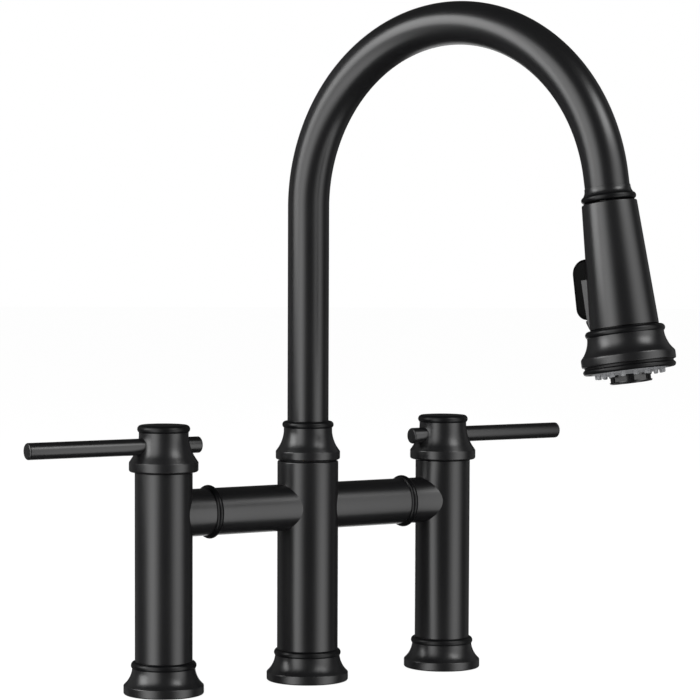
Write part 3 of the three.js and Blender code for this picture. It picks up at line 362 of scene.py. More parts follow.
def outline(bm, points):
    """A closed profile of (radius, height) points; a third number rounds the corner over that
    length of both edges, and five numbers are an arc (see above) instead of a point."""
    ends = []
    corners = []
    for point in points:
        if len(point) == 5:
            ends.append(arc(bm, *point))
        else:
            corner = bm.verts.new((point[0], 0, point[1]))
            ends.append((corner, corner))
            if len(point) == 3:
                corners.append((corner, point[2]))
    for (_, last), (first, _) in zip(ends, ends[1:] + ends[:1]):
        bm.edges.new((last, first))
    for corner, length in corners:
        bmesh.ops.bevel(
            bm,
            geom=[corner],
            offset=length,
            offset_type="OFFSET",
            segments=CORNER_STEPS,
            profile=0.5,
            affect="VERTICES",
            material=-1,
        )


def turned(points, steps=LATHE_STEPS):
    """A closed solid of revolution about Z."""
    bm = bmesh.new()
    outline(bm, points)
    on_axis = [e for e in bm.edges if all(abs(v.co.x) < 1e-6 for v in e.verts)]
    bmesh.ops.delete(bm, geom=on_axis, context="EDGES")
    bmesh.ops.spin(
        bm,
        geom=bm.verts[:] + bm.edges[:],
        cent=(0, 0, 0),
        axis=(0, 0, 1),
        angle=2 * math.pi,
        steps=steps,
        use_merge=True,
    )
    bmesh.ops.remove_doubles(bm, verts=bm.verts[:], dist=1e-4)
    bmesh.ops.recalc_face_normals(bm, faces=bm.faces[:])
    return bm


def piece(bm, name, body, material, nodes, place=Matrix(), crisp=30):
    """Sets a shape in its place as a finished piece that stands for CAD nodes. Edges that turn
    more than crisp degrees stay sharp."""
    bm.transform(MM @ place)
    bm.normal_update()
    bmesh.ops.recalc_face_normals(bm, faces=bm.faces[:])
    for face in bm.faces:
        face.smooth = True
    for edge in bm.edges:
        edge.smooth = edge.calc_face_angle(0) < math.radians(crisp)
    mesh = bpy.data.meshes.new(name)
    bm.to_mesh(mesh)
    bm.free()
    mesh.materials.append(material)
    made = bpy.data.objects.new(name, mesh)
    bpy.context.scene.collection.objects.link(made)
    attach(made, body)
    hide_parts(*nodes)


def recoat(material, *nodes):
    """Gives CAD nodes whose shape stays their material."""
    for node in nodes:
        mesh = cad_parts[node].data
        mesh.materials.clear()
        mesh.materials.append(material)


for side, x, post, band, neck, bead in (
    ("left", -POST_SPACING, POST_R, 6.85, 1.6, 2.4),
    ("centre", 0, CENTRE_R, 6.45, 1.2, 1.9),
    ("right", POST_SPACING, POST_R, 6.85, 1.6, 2.4),
):
    place = Matrix.Translation((x, 0, 0))
    node = f"{side}_base_flange"
    flange = turned(
        [
            (post + FIT, GASKET_H),
            (post + GASKET_REACH, GASKET_H),
            (post + GASKET_REACH, 0),
            (post + band, 0, 1),
            (post + band, FLANGE_BAND_H, 0.35),
            (post + neck + 0.75, FLARE_Z, FLARE_ROUND),
            (post + neck, BEAD_FOOT - FIT),
            (post + FIT, BEAD_FOOT - FIT),
        ]
    )
    piece(flange, f"{side}_flange", "faucet_body", powder_coat, [node], place)
    # The bead is drawn in the darker copy of the coat, as painted shade.
    ring = turned(
        [
            (post + FIT, BEAD_FOOT),
            (post + bead - BEAD_ROUND, BEAD_Z, BEAD_ROUND, -42, 82),
            (post + FIT, BEAD_TOP),
        ]
    )
    piece(ring, f"{side}_flange_bead", "faucet_body", painted_shade_coat, [node], place)
    recoat(black_rubber, f"{side}_deck_gasket")

# ---- Outer posts ----
# A brass tee: the upright post holds the valve, and its stub carries the bridge. Stub and post
# are one brazed piece with a small fillet all round the saddle.
POST_TOP = 133.3
BRIDGE_Z = 108
BRIDGE_R = 14.35
STUB_END = 31.1
SADDLE_FILLET = 1.5
BORE_R = 13.6
SEAT_R = 8
SEAT_FOOT = 92
SEAT_TOP = 95.7

along_x = Matrix.Rotation(math.pi / 2, 4, "Y")


def round_bar(radius, foot, top, steps=LATHE_STEPS):
    """A plain bar about Z."""
    return turned([(0, foot), (radius, foot), (radius, top), (0, top)], steps)


def combined(base, tool, operation):
    """Two closed shapes joined or cut, as a new shape with its own faces only."""
    work = []
    for bm in (base, tool):
        mesh = bpy.data.meshes.new("work")
        bm.to_mesh(mesh)
        bm.free()
        work.append(bpy.data.objects.new("work", mesh))
        bpy.context.scene.collection.objects.link(work[-1])
    modifier = work[0].modifiers.new("work", "BOOLEAN")
    modifier.object = work[1]
    modifier.operation = operation
    modifier.solver = "EXACT"
    ready = work[0].evaluated_get(bpy.context.evaluated_depsgraph_get())
    result = bmesh.new()
    result.from_mesh(ready.to_mesh())
    ready.to_mesh_clear()
    for o in work:
        bpy.data.objects.remove(o)
    bmesh.ops.remove_doubles(result, verts=result.verts[:], dist=1e-4)
    return result


def fillet(bm, chosen, radius, segments=4):
    """Rounds the creases whose two ends both pass the test."""
    creases = [
        e
        for e in bm.edges
        if e.calc_face_angle(0) > math.radians(20) and all(chosen(v.co) for v in e.verts)
    ]
    bmesh.ops.bevel(
        bm,
        geom=creases,
        offset=radius,
        offset_type="OFFSET",
        segments=segments,
        profile=0.5,
        affect="EDGES",
        clamp_overlap=True,
        material=-1,
    )


def on_saddle(radius):
    """A test for the points where the bridge meets an upright of this radius."""
    return lambda co: (
        abs(math.hypot(co.x, co.y) - radius) < 0.1
        and abs(math.hypot(co.y, co.z - BRIDGE_Z) - BRIDGE_R) < 0.1
    )


for side, x, turn in (("left", -POST_SPACING, 0), ("right", POST_SPACING, math.pi)):
    upright = turned([(0, 0), (POST_R, 0), (POST_R, POST_TOP, 0.5), (0, POST_TOP)])
    stub = round_bar(BRIDGE_R, 5, STUB_END)
    stub.transform(Matrix.Translation((0, 0, BRIDGE_Z)) @ along_x)
    tee = combined(upright, stub, "UNION")
    fillet(tee, on_saddle(POST_R), SADDLE_FILLET)
    hollow = turned(
        [
            (0, -1),
            (BORE_R, -1),
            (BORE_R, SEAT_FOOT),
            (SEAT_R, SEAT_FOOT),
            (SEAT_R, SEAT_TOP),
            (BORE_R, SEAT_TOP),
            (BORE_R, POST_TOP + 6.7),
            (0, POST_TOP + 6.7),
        ]
    )
    tee = combined(tee, hollow, "DIFFERENCE")
    piece(
        tee,
        f"{side}_tee",
        "faucet_body",
        powder_coat,
        [f"{side}_valve_post"],
        Matrix.Translation((x, 0, 0)) @ Matrix.Rotation(turn, 4, "Z"),
    )

# ---- Valves inside the outer posts ----
# Quarter-turn cartridges with their ring nuts and stems, all machined brass, and the steel grub
# screws that hold the hubs on the stems. Rubber rings seal the bridge. They keep the CAD
# shapes, as the posts and hubs hide them.

# Turned brass: warm yellow, with the fine rings that the lathe leaves round each piece.
machined_brass = surface(
    "turned brass",
    ("#c9a45a", "#bd984f"),
    (0.24, 0.34),
    metallic=1,
    grain_mm=0.5,
    grain_depth_mm=0.004,
    stretch=(0.02, 0.02, 1),
)
# Turned stainless steel: pale grey, with the same fine rings.
stainless = surface(
    "turned stainless steel",
    ("#b6b6b4", "#a9a9a8"),
    (0.25, 0.35),
    metallic=1,
    grain_mm=0.5,
    grain_depth_mm=0.003,
    stretch=(0.02, 0.02, 1),
)
for side in ("left", "right"):
    recoat(machined_brass, f"{side}_valve_cartridge", f"{side}_cartridge_nut")
    recoat(machined_brass, f"{side}_valve_stem")
    recoat(black_rubber, f"{side}_bridge_o_ring")
    recoat(stainless, f"{side}_set_screw")

# ---- Bridge tubes and cover rings ----
# Each arm is a brass tube, plugged into the outer post's stub and brazed to the centre post. A
# half-round ring slides over the plugged joint.
RING_X = POST_SPACING - STUB_END
RING_ROUND = 2.3
RING_PROUD = 1.95
WATERWAY_R = 6.5
SPIGOT_R = 9.7
SPIGOT_END = RING_X + 11.7
CORE_FOOT = 60
CORE_TOP = 150

for side, sign, turn in (("left", -1, 0), ("right", 1, math.pi)):
    arm = turned(
        [
            (WATERWAY_R, -SPIGOT_END),
            (SPIGOT_R, -SPIGOT_END),
            (SPIGOT_R, -RING_X),
            (BRIDGE_R, -RING_X),
            (BRIDGE_R, 0),
            (WATERWAY_R, 0),
        ]
    )
    arm.transform(Matrix.Translation((0, 0, BRIDGE_Z)) @ along_x)
    # A stand-in for the centre post shapes the fillet, and a hair larger one cuts it off again.
    arm = combined(arm, round_bar(CENTRE_R, CORE_FOOT, CORE_TOP), "UNION")
    fillet(arm, on_saddle(CENTRE_R), SADDLE_FILLET)
    core = round_bar(CENTRE_R + 0.02, CORE_FOOT - 10, CORE_TOP + 10)
    arm = combined(arm, core, "DIFFERENCE")
    piece(
        arm,
        f"{side}_arm",
        "faucet_body",
        powder_coat,
        [f"{side}_bridge_tube"],
        Matrix.Rotation(turn, 4, "Z"),
    )
    # The cover ring is drawn in the darker copy of the coat, as painted shade.
    ring = turned(
        [
            (BRIDGE_R + FIT, -RING_ROUND + 0.1),
            (BRIDGE_R + RING_PROUD - RING_ROUND, 0, RING_ROUND, -80, 80),
            (BRIDGE_R + FIT, RING_ROUND - 0.1),
        ]
    )
    piece(
        ring,
        f"{side}_cover_ring",
        "faucet_body",
        painted_shade_coat,
        [f"{side}_bridge_ring"],
        Matrix.Translation((sign * RING_X, 0, BRIDGE_Z)) @ along_x,
    )

# ---- Centre post ----
# A plain brass tube with a rounded top edge. It holds the mixing manifold and the spout's
# swivel, and a lock screw at its back keeps the spout in.
CENTRE_TOP = 136.6
CENTRE_BORE_R = 15.5
WASHER_SEAT_R = 17.1
WASHER_SEAT_Z = 135.1
LOCK_SCREW_R = 2.5
LOCK_SCREW_Z = 130
DRILL_STEPS = 32

to_back = Matrix.Rotation(-math.pi / 2, 4, "X")

upright = turned(
    [
        (CENTRE_BORE_R, 0),
        (CENTRE_R, 0),
        (CENTRE_R, CENTRE_TOP, 1.2),
        (WASHER_SEAT_R, CENTRE_TOP, 0.3),
        (WASHER_SEAT_R, WASHER_SEAT_Z),
        (CENTRE_BORE_R, WASHER_SEAT_Z),
    ]
)
drill = round_bar(LOCK_SCREW_R, 0, 25, DRILL_STEPS)
drill.transform(Matrix.Translation((0, 0, LOCK_SCREW_Z)) @ to_back)
upright = combined(upright, drill, "DIFFERENCE")
piece(upright, "centre_upright", "faucet_body", powder_coat, ["centre_post"])

# Machined acetal: black, waxy and even.
acetal = surface(
    "machined acetal", ("#1b1b1c", "#212122"), (0.4, 0.5), grain_mm=1.5, grain_depth_mm=0.003
)
recoat(machined_brass, "mixing_manifold", "spout_shank")
recoat(acetal, "swivel_washer")
recoat(stainless, "spout_lock_screw")
recoat(black_rubber, "spout_o_ring")

# ---- Handles ----
# A turned hub sits on each outer post: a band, a hollow cone and a bead under its flat top. A
# plain rod goes right through it as the lever.
HUB_FOOT = POST_TOP + 0.3
HUB_BAND_TOP = HUB_FOOT + 5.7
HUB_CONE_TOP = HUB_FOOT + 14.6
HUB_NECK_TOP = HUB_FOOT + 23.6
HUB_TOP = HUB_FOOT + 28.1
HUB_BAND_R = 20.85
HUB_NECK_R = 14.9
HUB_CONE_ROUND = 7
HUB_BEAD_ROUND = 2.5
STEM_R = 4.5
STEM_TOP = HUB_FOOT + 9.1
GRUB_SCREW_R = 2.1
GRUB_SCREW_Z = HUB_FOOT + 2.9
LEVER_Z = HUB_FOOT + 15.4
LEVER_R = 5
LEVER_HOLE_R = LEVER_R + 0.12
LEVER_SHORT = 24.5
LEVER_LONG = 90.5
LEVER_ROUND = 1.1
LEVER_STEPS = 48

for side, x, turn in (("left", -POST_SPACING, math.pi), ("right", POST_SPACING, 0)):
    body = f"{side}_handle"
    place = Matrix.Translation((x, 0, 0))
    hub = turned(
        [
            (0, HUB_FOOT),
            (HUB_BAND_R, HUB_FOOT, 1.4),
            (HUB_BAND_R, HUB_BAND_TOP, 0.35),
            (HUB_NECK_R, HUB_CONE_TOP, HUB_CONE_ROUND),
            (HUB_NECK_R, HUB_NECK_TOP),
            (0, HUB_NECK_TOP),
        ]
    )
    drill = round_bar(LEVER_HOLE_R, -25, 25, LEVER_STEPS)
    drill.transform(Matrix.Translation((0, 0, LEVER_Z)) @ along_x)
    hub = combined(hub, drill, "DIFFERENCE")
    socket = round_bar(STEM_R, HUB_FOOT - 1, STEM_TOP, DRILL_STEPS)
    hub = combined(hub, socket, "DIFFERENCE")
    drill = round_bar(GRUB_SCREW_R, 2, 25, DRILL_STEPS)
    drill.transform(Matrix.Translation((0, 0, GRUB_SCREW_Z)) @ to_back)
    hub = combined(hub, drill, "DIFFERENCE")
    node = f"{side}_handle_hub"
    piece(hub, f"{side}_hub", body, powder_coat, [node], place)
    # The cap and its bead are drawn in the darker copy of the coat, as painted shade.
    cap = turned(
        [
            (0, HUB_NECK_TOP + FIT),
            (HUB_NECK_R, HUB_NECK_TOP + FIT),
            (HUB_NECK_R - 1.55, HUB_TOP - HUB_BEAD_ROUND, HUB_BEAD_ROUND, -50, 90),
            (0, HUB_TOP),
        ]
    )
    piece(cap, f"{side}_hub_cap", body, painted_shade_coat, [node], place)
    lever = turned(
        [
            (0, -LEVER_SHORT),
            (LEVER_R, -LEVER_SHORT, LEVER_ROUND),
            (LEVER_R, LEVER_LONG, LEVER_ROUND),
            (0, LEVER_LONG),
        ],
        LEVER_STEPS,
    )
    piece(
        lever,
        f"{side}_lever_rod",
        body,
        powder_coat,
        [f"{side}_lever"],
        place @ Matrix.Translation((0, 0, LEVER_Z)) @ Matrix.Rotation(turn, 4, "Z") @ along_x,
    )

# ---- Spout collar ----
# A turned collar at the gooseneck's foot repeats the hub's form. It turns with the spout, a
# hair above the centre post.
COLLAR_FOOT = CENTRE_TOP + 0.6
COLLAR_BAND_TOP = COLLAR_FOOT + 5.1
COLLAR_FLARE_TOP = COLLAR_FOOT + 12.2
COLLAR_NECK_TOP = COLLAR_FOOT + 19.6
COLLAR_TOP = COLLAR_FOOT + 23.6
COLLAR_BAND_R = CENTRE_R + 1.05
COLLAR_NECK_R = 14.95
COLLAR_FLARE_ROUND = 5.6
TUBE_R = 12.7
SPOUT_TURN = math.radians(20 - 90)  # the photo shows it 20 degrees off straight front

spout_frame = Matrix.Rotation(SPOUT_TURN, 4, "Z")
collar = turned(
    [
        (TUBE_R + FIT, COLLAR_FOOT),
        (COLLAR_BAND_R, COLLAR_FOOT, 1.3),
        (COLLAR_BAND_R, COLLAR_BAND_TOP, 0.35),
        (COLLAR_NECK_R, COLLAR_FLARE_TOP, COLLAR_FLARE_ROUND),
        (COLLAR_NECK_R, COLLAR_NECK_TOP),
        (TUBE_R + FIT, COLLAR_NECK_TOP),
    ]
)
piece(collar, "collar_at_spout_foot", "spout", powder_coat, ["spout_collar"])
# The bead is drawn in the darker copy of the coat, as painted shade.
ring = turned(
    [
        (TUBE_R + FIT, COLLAR_NECK_TOP + FIT),
        (COLLAR_NECK_R - 1.35, COLLAR_FOOT + 21.5, 2.3, -54, 100),
        (TUBE_R + FIT, COLLAR_TOP),
    ]
)
piece(ring, "collar_bead", "spout", painted_shade_coat, ["spout_collar"])

# ---- Gooseneck ----
# A one-inch brass tube: a straight leg, a bend of a little under half a turn and a short tip
# that leans outwards. Drawn, bent and coated.
TUBE_WALL = 1.3
TUBE_FOOT = 118.6
LEG_TOP = 292.5
BEND_R = 107
BEND_ANGLE = math.radians(171.25)
TIP_LENGTH = 12
TUBE_SIDES = 96
BEND_STEPS = 160

# Everything on the tip and the spray head is drawn about this axis: z runs down it from the
# end of the bend, and x points back towards the leg.
spout_tip = (
    spout_frame
    @ Matrix.Translation(
        (BEND_R * (1 - math.cos(BEND_ANGLE)), 0, LEG_TOP + BEND_R * math.sin(BEND_ANGLE))
    )
    @ Matrix.Rotation(BEND_ANGLE, 4, "Y")
)


def drawn_on(bm, edges, reach):
    """Draws a ring of edges on by a reach into a wall, and returns the new ring."""
    new = bmesh.ops.extrude_edge_only(bm, edges=edges)["geom"]
    ends = [g for g in new if isinstance(g, bmesh.types.BMVert)]
    bmesh.ops.translate(bm, verts=ends, vec=reach)
    return [g for g in new if isinstance(g, bmesh.types.BMEdge)]


def swept(radius, foot, angle, tip, sides, steps):
    """The open outside of a pipe on the gooseneck's centre line: up from the foot, round by the
    angle and straight on by the tip."""
    bm = bmesh.new()
    ring = bmesh.ops.create_circle(bm, segments=sides, radius=radius)["verts"]
    bmesh.ops.translate(bm, verts=ring, vec=(0, 0, foot))
    edges = bm.edges[:]
    if foot < LEG_TOP:
        edges = drawn_on(bm, edges, (0, 0, LEG_TOP - foot))
    bent = bmesh.ops.spin(
        bm,
        geom=edges,
        cent=(BEND_R, 0, LEG_TOP),
        axis=(0, 1, 0),
        angle=angle,
        steps=steps,
    )["geom_last"]
    if tip:
        edges = [g for g in bent if isinstance(g, bmesh.types.BMEdge)]
        drawn_on(bm, edges, Vector((math.sin(angle), 0, math.cos(angle))) * tip)
    bmesh.ops.recalc_face_normals(bm, faces=bm.faces[:])
    return bm


neck = swept(TUBE_R, TUBE_FOOT, BEND_ANGLE, TIP_LENGTH, TUBE_SIDES, BEND_STEPS)
bmesh.ops.solidify(neck, geom=neck.faces[:], thickness=TUBE_WALL)
piece(neck, "gooseneck_tube", "spout", powder_coat, ["gooseneck"], spout_frame)

# ---- Spout tip and dock ----
# A flared collar with a bead closes the tube's end. Inside it a plastic sleeve and a ring magnet
# receive the spray head's connector.
TIP_COLLAR_START = 7
TIP_COLLAR_END = 11.4
TIP_COLLAR_R = TUBE_R + 0.35
DOCK_FACE = 12.3
TIP_END = 15.3

collar = turned(
    [
        (TUBE_R + FIT, TIP_COLLAR_START),
        (TIP_COLLAR_R, TIP_COLLAR_START, 0.2),
        (TIP_COLLAR_R, 9.6, 1.6),
        (14.3, TIP_COLLAR_END),
        (TUBE_R + FIT, TIP_COLLAR_END),
    ]
)
piece(collar, "tip_collar", "spout", powder_coat, ["spout_tip_collar"], spout_tip)
# The bead is drawn in the darker copy of the coat, as painted shade.
ring = turned(
    [
        (TUBE_R + FIT, TIP_COLLAR_END + FIT),
        (13.55, TIP_END - 2, 2, -66, 90),
        (11.6, TIP_END),
        (11.6, DOCK_FACE),
        (TUBE_R + FIT, DOCK_FACE),
    ]
)
piece(ring, "tip_bead", "spout", painted_shade_coat, ["spout_tip_collar"], spout_tip)
sleeve = turned([(9.2, -4), (10.7, -4), (10.7, TIP_LENGTH), (9.2, TIP_LENGTH)])
piece(sleeve, "dock_sleeve", "spout", acetal, ["dock_socket"], spout_tip)
magnet = turned(
    [(9.5, DOCK_FACE), (11.3, DOCK_FACE), (11.3, TIP_END, 0.3), (9.5, TIP_END, 0.3)]
)
piece(magnet, "ring_magnet", "spout", stainless, ["dock_magnet"], spout_tip)

# ---- Spray hose ----
# A smooth sleeved hose runs up inside the gooseneck. Its last stretch, which follows the head
# out of the tip, is a piece of its own that reaches from the bend to the connector.
HOSE_R = 5.8
HOSE_FOOT = 1
HOSE_SPLIT = math.radians(139)
HOSE_END = BEND_ANGLE - 6.6 / BEND_R
HOSE_SIDES = 32

# Smooth nylon sleeve over the hose: dark grey and slightly waxy.
sleeved_hose = surface(
    "smooth nylon hose sleeve",
    ("#47484a", "#4f5052"),
    (0.42, 0.55),
    grain_mm=1.2,
    grain_depth_mm=0.004,
)
fixed = swept(HOSE_R, HOSE_FOOT, HOSE_SPLIT, 0, HOSE_SIDES, 90)
bmesh.ops.holes_fill(fixed, edges=[e for e in fixed.edges if e.is_boundary])
piece(fixed, "hose_in_gooseneck", "spout", sleeved_hose, ["spray_hose"], spout_frame)

# ---- Spray head shell ----
# A tapered moulded grip, coated like the body, with a low boss round the lower half of the
# button's pocket. The heel under the button's foot is part of the grip, but is drawn in the
# button's near-black soft-touch instead of the coat.
HEAD_TOP = 15.8
HEAD_END = 86.6
HEAD_TOP_R = 16.05
HEAD_END_R = 19.45
HEAD_TOP_ROUND = 0.9
HEAD_WALL = 2.2
HEAD_NECK_R = 7.5
HEAD_NECK_END = 20.3
GROOVE_END = 17.6  # the groove that holds the catch ring
HEAD_STEPS = 128
POCKET_OUT = 13.2
POCKET_HALF_W = 9
POCKET_START = 45.1
POCKET_END = 81
POCKET_CORNER = 4
OUTSIDE = 30  # clear of the shell
UNDER_SHELL = 14.5  # below the shell's outer face
BOSS_START = 57.6
BOSS_END = 85.6
BOSS_R = 21
BOSS_RIM = 1.6
HEEL_START = 80.5
HEEL_OUT = 20.5
HEEL_HALF_W = 6.8

# Soft-touch lacquer over ABS: the deepest black on the faucet, with almost no reflection.
soft_touch = surface(
    "soft-touch lacquered ABS",
    ("#020202", "#050505"),
    (0.55, 0.65),
    grain_mm=0.5,
    grain_depth_mm=0.003,
    Specular_IOR_Level=0.04,
)


def head_radius(along):
    """The shell's outer radius at a distance along the head."""
    first = HEAD_TOP + HEAD_TOP_ROUND
    return HEAD_TOP_R + (HEAD_END_R - HEAD_TOP_R) * (along - first) / (HEAD_END - first)


def extruded(corners, depth):
    """A plate of (x, z) corners, rounded as an outline's, that runs from y = 0 to the depth."""
    bm = bmesh.new()
    outline(bm, corners)
    plate = bmesh.ops.contextual_create(bm, geom=bm.edges[:])["faces"]
    grown = bmesh.ops.extrude_face_region(bm, geom=plate)["geom"]
    moved = [g for g in grown if isinstance(g, bmesh.types.BMVert)]
    bmesh.ops.translate(bm, verts=moved, vec=(0, depth, 0))
    bmesh.ops.recalc_face_normals(bm, faces=bm.faces[:])
    return bm


def slab(corners, half_width):
    """A plate of (out, along) corners on the head's back, half_width to each side of its
    middle."""
    bm = extruded(corners, 2 * half_width)
    bmesh.ops.translate(bm, verts=bm.verts[:], vec=(0, -half_width, 0))
    return bm


shell = turned(
    [
        (HEAD_NECK_R, HEAD_TOP),
        (8.9, HEAD_TOP),
        (8.9, GROOVE_END),
        (11.8, GROOVE_END),
        (11.8, HEAD_TOP),
        (HEAD_TOP_R - HEAD_TOP_ROUND / 2, HEAD_TOP, HEAD_TOP_ROUND),
        (HEAD_END_R, HEAD_END, 0.3),
        (HEAD_END_R - HEAD_WALL, HEAD_END),
        (head_radius(HEAD_NECK_END) - HEAD_WALL, HEAD_NECK_END),
        (HEAD_NECK_R, HEAD_NECK_END),
    ],
    HEAD_STEPS,
)
ramp_end = head_radius(BOSS_END)
boss = slab(
    [
        (UNDER_SHELL, BOSS_START),
        (BOSS_R + 0.2, BOSS_START, 1.4),
        (BOSS_R + 0.2, POCKET_END + 1),
        (ramp_end, BOSS_END),
        (UNDER_SHELL, BOSS_END),
    ],
    POCKET_HALF_W + BOSS_RIM,
)
trim = turned(
    [
        (0, BOSS_START - 2.6),
        (BOSS_R, BOSS_START - 2.6),
        (BOSS_R - 0.6, POCKET_END, 1.5),
        (ramp_end - 0.2, BOSS_END),
        (0, BOSS_END),
    ],
    HEAD_STEPS,
)
boss = combined(boss, trim, "INTERSECT")
shell = combined(shell, boss, "UNION")
pocket = extruded(
    [
        (-POCKET_HALF_W, POCKET_START, POCKET_CORNER),
        (POCKET_HALF_W, POCKET_START, POCKET_CORNER),
        (POCKET_HALF_W, POCKET_END, POCKET_CORNER),
        (-POCKET_HALF_W, POCKET_END, POCKET_CORNER),
    ],
    OUTSIDE - POCKET_OUT,
)
pocket.transform(Matrix.Translation((POCKET_OUT, 0, 0)) @ Matrix.Rotation(-math.pi / 2, 4, "Z"))
shell = combined(shell, pocket, "DIFFERENCE")
piece(shell, "grip_shell", "spray_head", powder_coat, ["head_shell"], spout_tip)
heel = slab(
    [
        (UNDER_SHELL, HEEL_START),
        (18.2, HEEL_START),
        (HEEL_OUT, HEEL_START - 0.1),
        (HEEL_OUT, 81.6, 0.8),
        (ramp_end - 0.55, BOSS_END - 0.1),
        (UNDER_SHELL, BOSS_END - 0.1),
    ],
    HEEL_HALF_W,
)
piece(heel, "button_heel", "spray_head", soft_touch, ["head_shell"], spout_tip)

# ---- Skirt and rim ring ----
# The bell under the grip is turned with a bead, a hollow flare and a band; a thinner ring below
# a groove closes it round the spray face.
SKIRT_START = 83
SKIRT_BORE_R = 14.6
SKIRT_PLUG_R = 16.7
SKIRT_BEAD_START = 87
SKIRT_BEAD_END = 91
SKIRT_BEAD_SEAT_R = 19.4
SKIRT_R = 26.6
SKIRT_END = 107.3
FACE_SEAT = 105.7
RIM_R = 25.1
RIM_END = 111.6
RIM_ROUND = 1.6

skirt = turned(
    [
        (SKIRT_BORE_R, SKIRT_START),
        (SKIRT_PLUG_R, SKIRT_START),
        (SKIRT_PLUG_R, SKIRT_BEAD_START - FIT),
        (SKIRT_BEAD_SEAT_R, SKIRT_BEAD_START - FIT),
        (SKIRT_BEAD_SEAT_R, SKIRT_BEAD_END),
        (21.65, SKIRT_BEAD_END),
        (22.0, 97.2, 5),
        (SKIRT_R, 102.6, 0.6),
        (SKIRT_R, SKIRT_END, 0.9),
        (24.2, SKIRT_END),
        (24.2, FACE_SEAT),
        (22.2, FACE_SEAT),
        (22.2, 102.4),
        (19.25, 91.9),
        (SKIRT_BORE_R, 91.9),
    ]
)
piece(skirt, "skirt_bell", "spray_head", powder_coat, ["head_skirt"], spout_tip)
# The bead is drawn in the darker copy of the coat, as painted shade.
ring = turned(
    [
        (SKIRT_BEAD_SEAT_R + FIT, SKIRT_BEAD_START),
        (20.35, SKIRT_BEAD_START + 2.2, 2.2, -90, 52),
        (21.6, SKIRT_BEAD_END - FIT),
        (SKIRT_BEAD_SEAT_R + FIT, SKIRT_BEAD_END - FIT),
    ]
)
piece(ring, "skirt_bead", "spray_head", painted_shade_coat, ["head_skirt"], spout_tip)
# The rim ring is drawn in the darker copy of the coat, as painted shade.
rim = turned(
    [
        (22.1, SKIRT_END + FIT),
        (RIM_R, SKIRT_END + FIT),
        (RIM_R, 108.4, 0.3),
        (24.55, RIM_END - RIM_ROUND, RIM_ROUND, -70, 90),
        (22.1, RIM_END),
    ]
)
piece(rim, "rim_ring", "spray_head", painted_shade_coat, ["head_rim_ring"], spout_tip)

# ---- Spray face and aerator ----
# A shallow cone of grey silicone carries two rings of rubbery nozzles, and a glossy black
# aerator stands out of its middle, with windows round its side.
FACE_START = 106
FACE_BORE_R = 12.15
NOZZLE_RINGS = ((18, 18.6), (12, 15.1))  # how many, at which radius
NOZZLE_FOOT = 110
NOZZLE_END = 114.4
NOZZLE_FOOT_R = 1.4
NOZZLE_END_R = 1.1
NOZZLE_STEPS = 20
AERATOR_R = 12
AERATOR_START = 109
AERATOR_END = 118.2
OUTLET_R = 10.2
OUTLET_FLOOR = 116
WINDOWS = 6
WINDOW = (2.4, 8, 2.8)  # its depth, width and height
WINDOW_Z = 115.75

# Moulded silicone: a mid grey that scatters light softly and is faintly mottled.
silicone = surface(
    "moulded grey silicone",
    ("#707173", "#7b7c7e"),
    (0.42, 0.55),
    patch_mm=6,
    grain_mm=0.6,
    grain_depth_mm=0.002,
)
# Polished ABS: black with clean, slightly wavy reflections.
gloss_abs = surface(
    "polished black ABS", ("#0a0a0b", "#0e0e0f"), (0.12, 0.18), grain_mm=4, grain_depth_mm=0.004
)

face = turned(
    [
        (FACE_BORE_R, FACE_START),
        (23.9, FACE_START),
        (23.9, SKIRT_END),
        (22, SKIRT_END),
        (22, 111.3),
        (21.6, RIM_END, 0.2),
        (FACE_BORE_R, 113.5),
    ]
)
for count, ring_r in NOZZLE_RINGS:
    for i in range(count):
        stem = turned(
            [
                (0, NOZZLE_FOOT),
                (NOZZLE_FOOT_R, NOZZLE_FOOT),
                (NOZZLE_END_R, NOZZLE_END, 0.4),
                (0, NOZZLE_END),
            ],
            NOZZLE_STEPS,
        )
        stem.transform(
            Matrix.Rotation(2 * math.pi * (i + 0.5) / count, 4, "Z")
            @ Matrix.Translation((ring_r, 0, 0))
        )
        mesh = bpy.data.meshes.new("nozzle")
        stem.to_mesh(mesh)
        stem.free()
        face.from_mesh(mesh)
        bpy.data.meshes.remove(mesh)
piece(face, "nozzle_face", "spray_head", silicone, ["spray_face"], spout_tip)

cap = turned(
    [
        (0, AERATOR_START),
        (AERATOR_R, AERATOR_START),
        (AERATOR_R, AERATOR_END, 0.8),
        (OUTLET_R, AERATOR_END, 0.3),
        (OUTLET_R, OUTLET_FLOOR),
        (0, OUTLET_FLOOR),
    ]
)
for i in range(WINDOWS):
    window = bmesh.new()
    bmesh.ops.create_cube(window, size=1)
    window.transform(
        Matrix.Rotation(2 * math.pi * (i + 0.5) / WINDOWS, 4, "Z")
        @ Matrix.Translation((AERATOR_R, 0, WINDOW_Z))
        @ Matrix.Diagonal((*WINDOW, 1))
    )
    cap = combined(cap, window, "DIFFERENCE")
piece(cap, "aerator_cap", "spray_head", gloss_abs, ["aerator"], spout_tip)

# ---- Connector, catch ring and waterway ----
# The steel connector on the hose's end plugs into the dock, and a steel ring in the grip's top
# meets the magnet. The waterway behind them stays out of sight, and the hose's free stretch
# reaches from the bend to the connector.
PLUG_START = -6
PLUG_END = 26.7
PLUG_BORE_R = 4
PLUG_NOSE_R = 6.9
PLUG_R = 8.9
PLUG_TAIL_R = 7.2

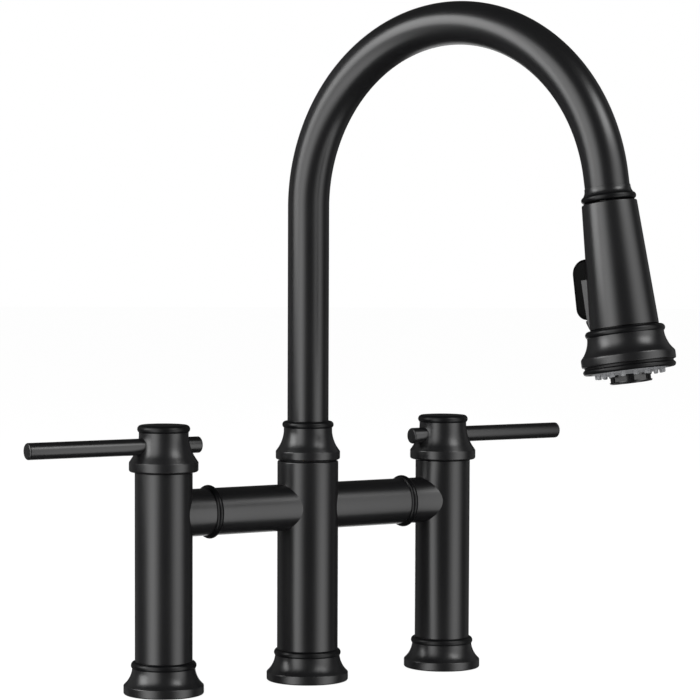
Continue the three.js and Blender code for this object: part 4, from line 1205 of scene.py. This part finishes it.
plug = turned(
    [
        (PLUG_BORE_R, PLUG_START),
        (PLUG_NOSE_R, PLUG_START, 0.4),
        (PLUG_NOSE_R, -2),
        (PLUG_R, -2, 0.5),
        (PLUG_R, 15.5),
        (PLUG_TAIL_R, 15.5),
        (PLUG_TAIL_R, PLUG_END),
        (PLUG_BORE_R, PLUG_END),
    ]
)
piece(plug, "connector", "spray_head", stainless, ["hose_connector"], spout_tip)
ring = turned([(9.2, HEAD_TOP), (11.5, HEAD_TOP), (11.5, 17.3), (9.2, 17.3)])
piece(ring, "steel_catch_ring", "spray_head", stainless, ["catch_ring"], spout_tip)
recoat(acetal, "head_core")
recoat(stainless, "button_pin")

moving = swept(HOSE_R, LEG_TOP, HOSE_END, 0, HOSE_SIDES, 120)
bmesh.ops.bisect_plane(
    moving,
    geom=moving.verts[:] + moving.edges[:] + moving.faces[:],
    plane_co=(BEND_R, 0, LEG_TOP),
    plane_no=(math.sin(HOSE_SPLIT), 0, math.cos(HOSE_SPLIT)),
    clear_inner=True,
)
moving.transform(MM @ spout_frame)
mesh = bpy.data.meshes.new("hose_to_head")
moving.to_mesh(mesh)
moving.free()
mesh.materials.append(sleeved_hose)
tail = bpy.data.objects.new("hose_to_head", mesh)
bpy.context.scene.collection.objects.link(tail)
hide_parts("spray_hose")
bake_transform(tail)

# ---- Mode button ----
# A moulded rocker in the back of the grip, of soft-touch black plastic. It tips on its pin
# between stream and spray, and its underside rises towards the foot to leave it room.
BUTTON_OUT = 25.9
BUTTON_TILT = 0.35  # its face lies this much further in at the top and out at the foot
BUTTON_START = 45.6
BUTTON_END = 80
BUTTON_HALF_W = 8.5
BUTTON_EDGE = 3
PIN_AT = 64

button = slab(
    [
        (13.5, BUTTON_START),
        (BUTTON_OUT - BUTTON_TILT, BUTTON_START, 8),
        (BUTTON_OUT + BUTTON_TILT, BUTTON_END, 7),
        (15.2, BUTTON_END),
        (13.5, PIN_AT),
    ],
    BUTTON_HALF_W,
)
fillet(button, lambda co: True, BUTTON_EDGE, 6)
piece(
    button, "rocker_button", "mode_button", soft_touch, ["mode_button"], spout_tip
)
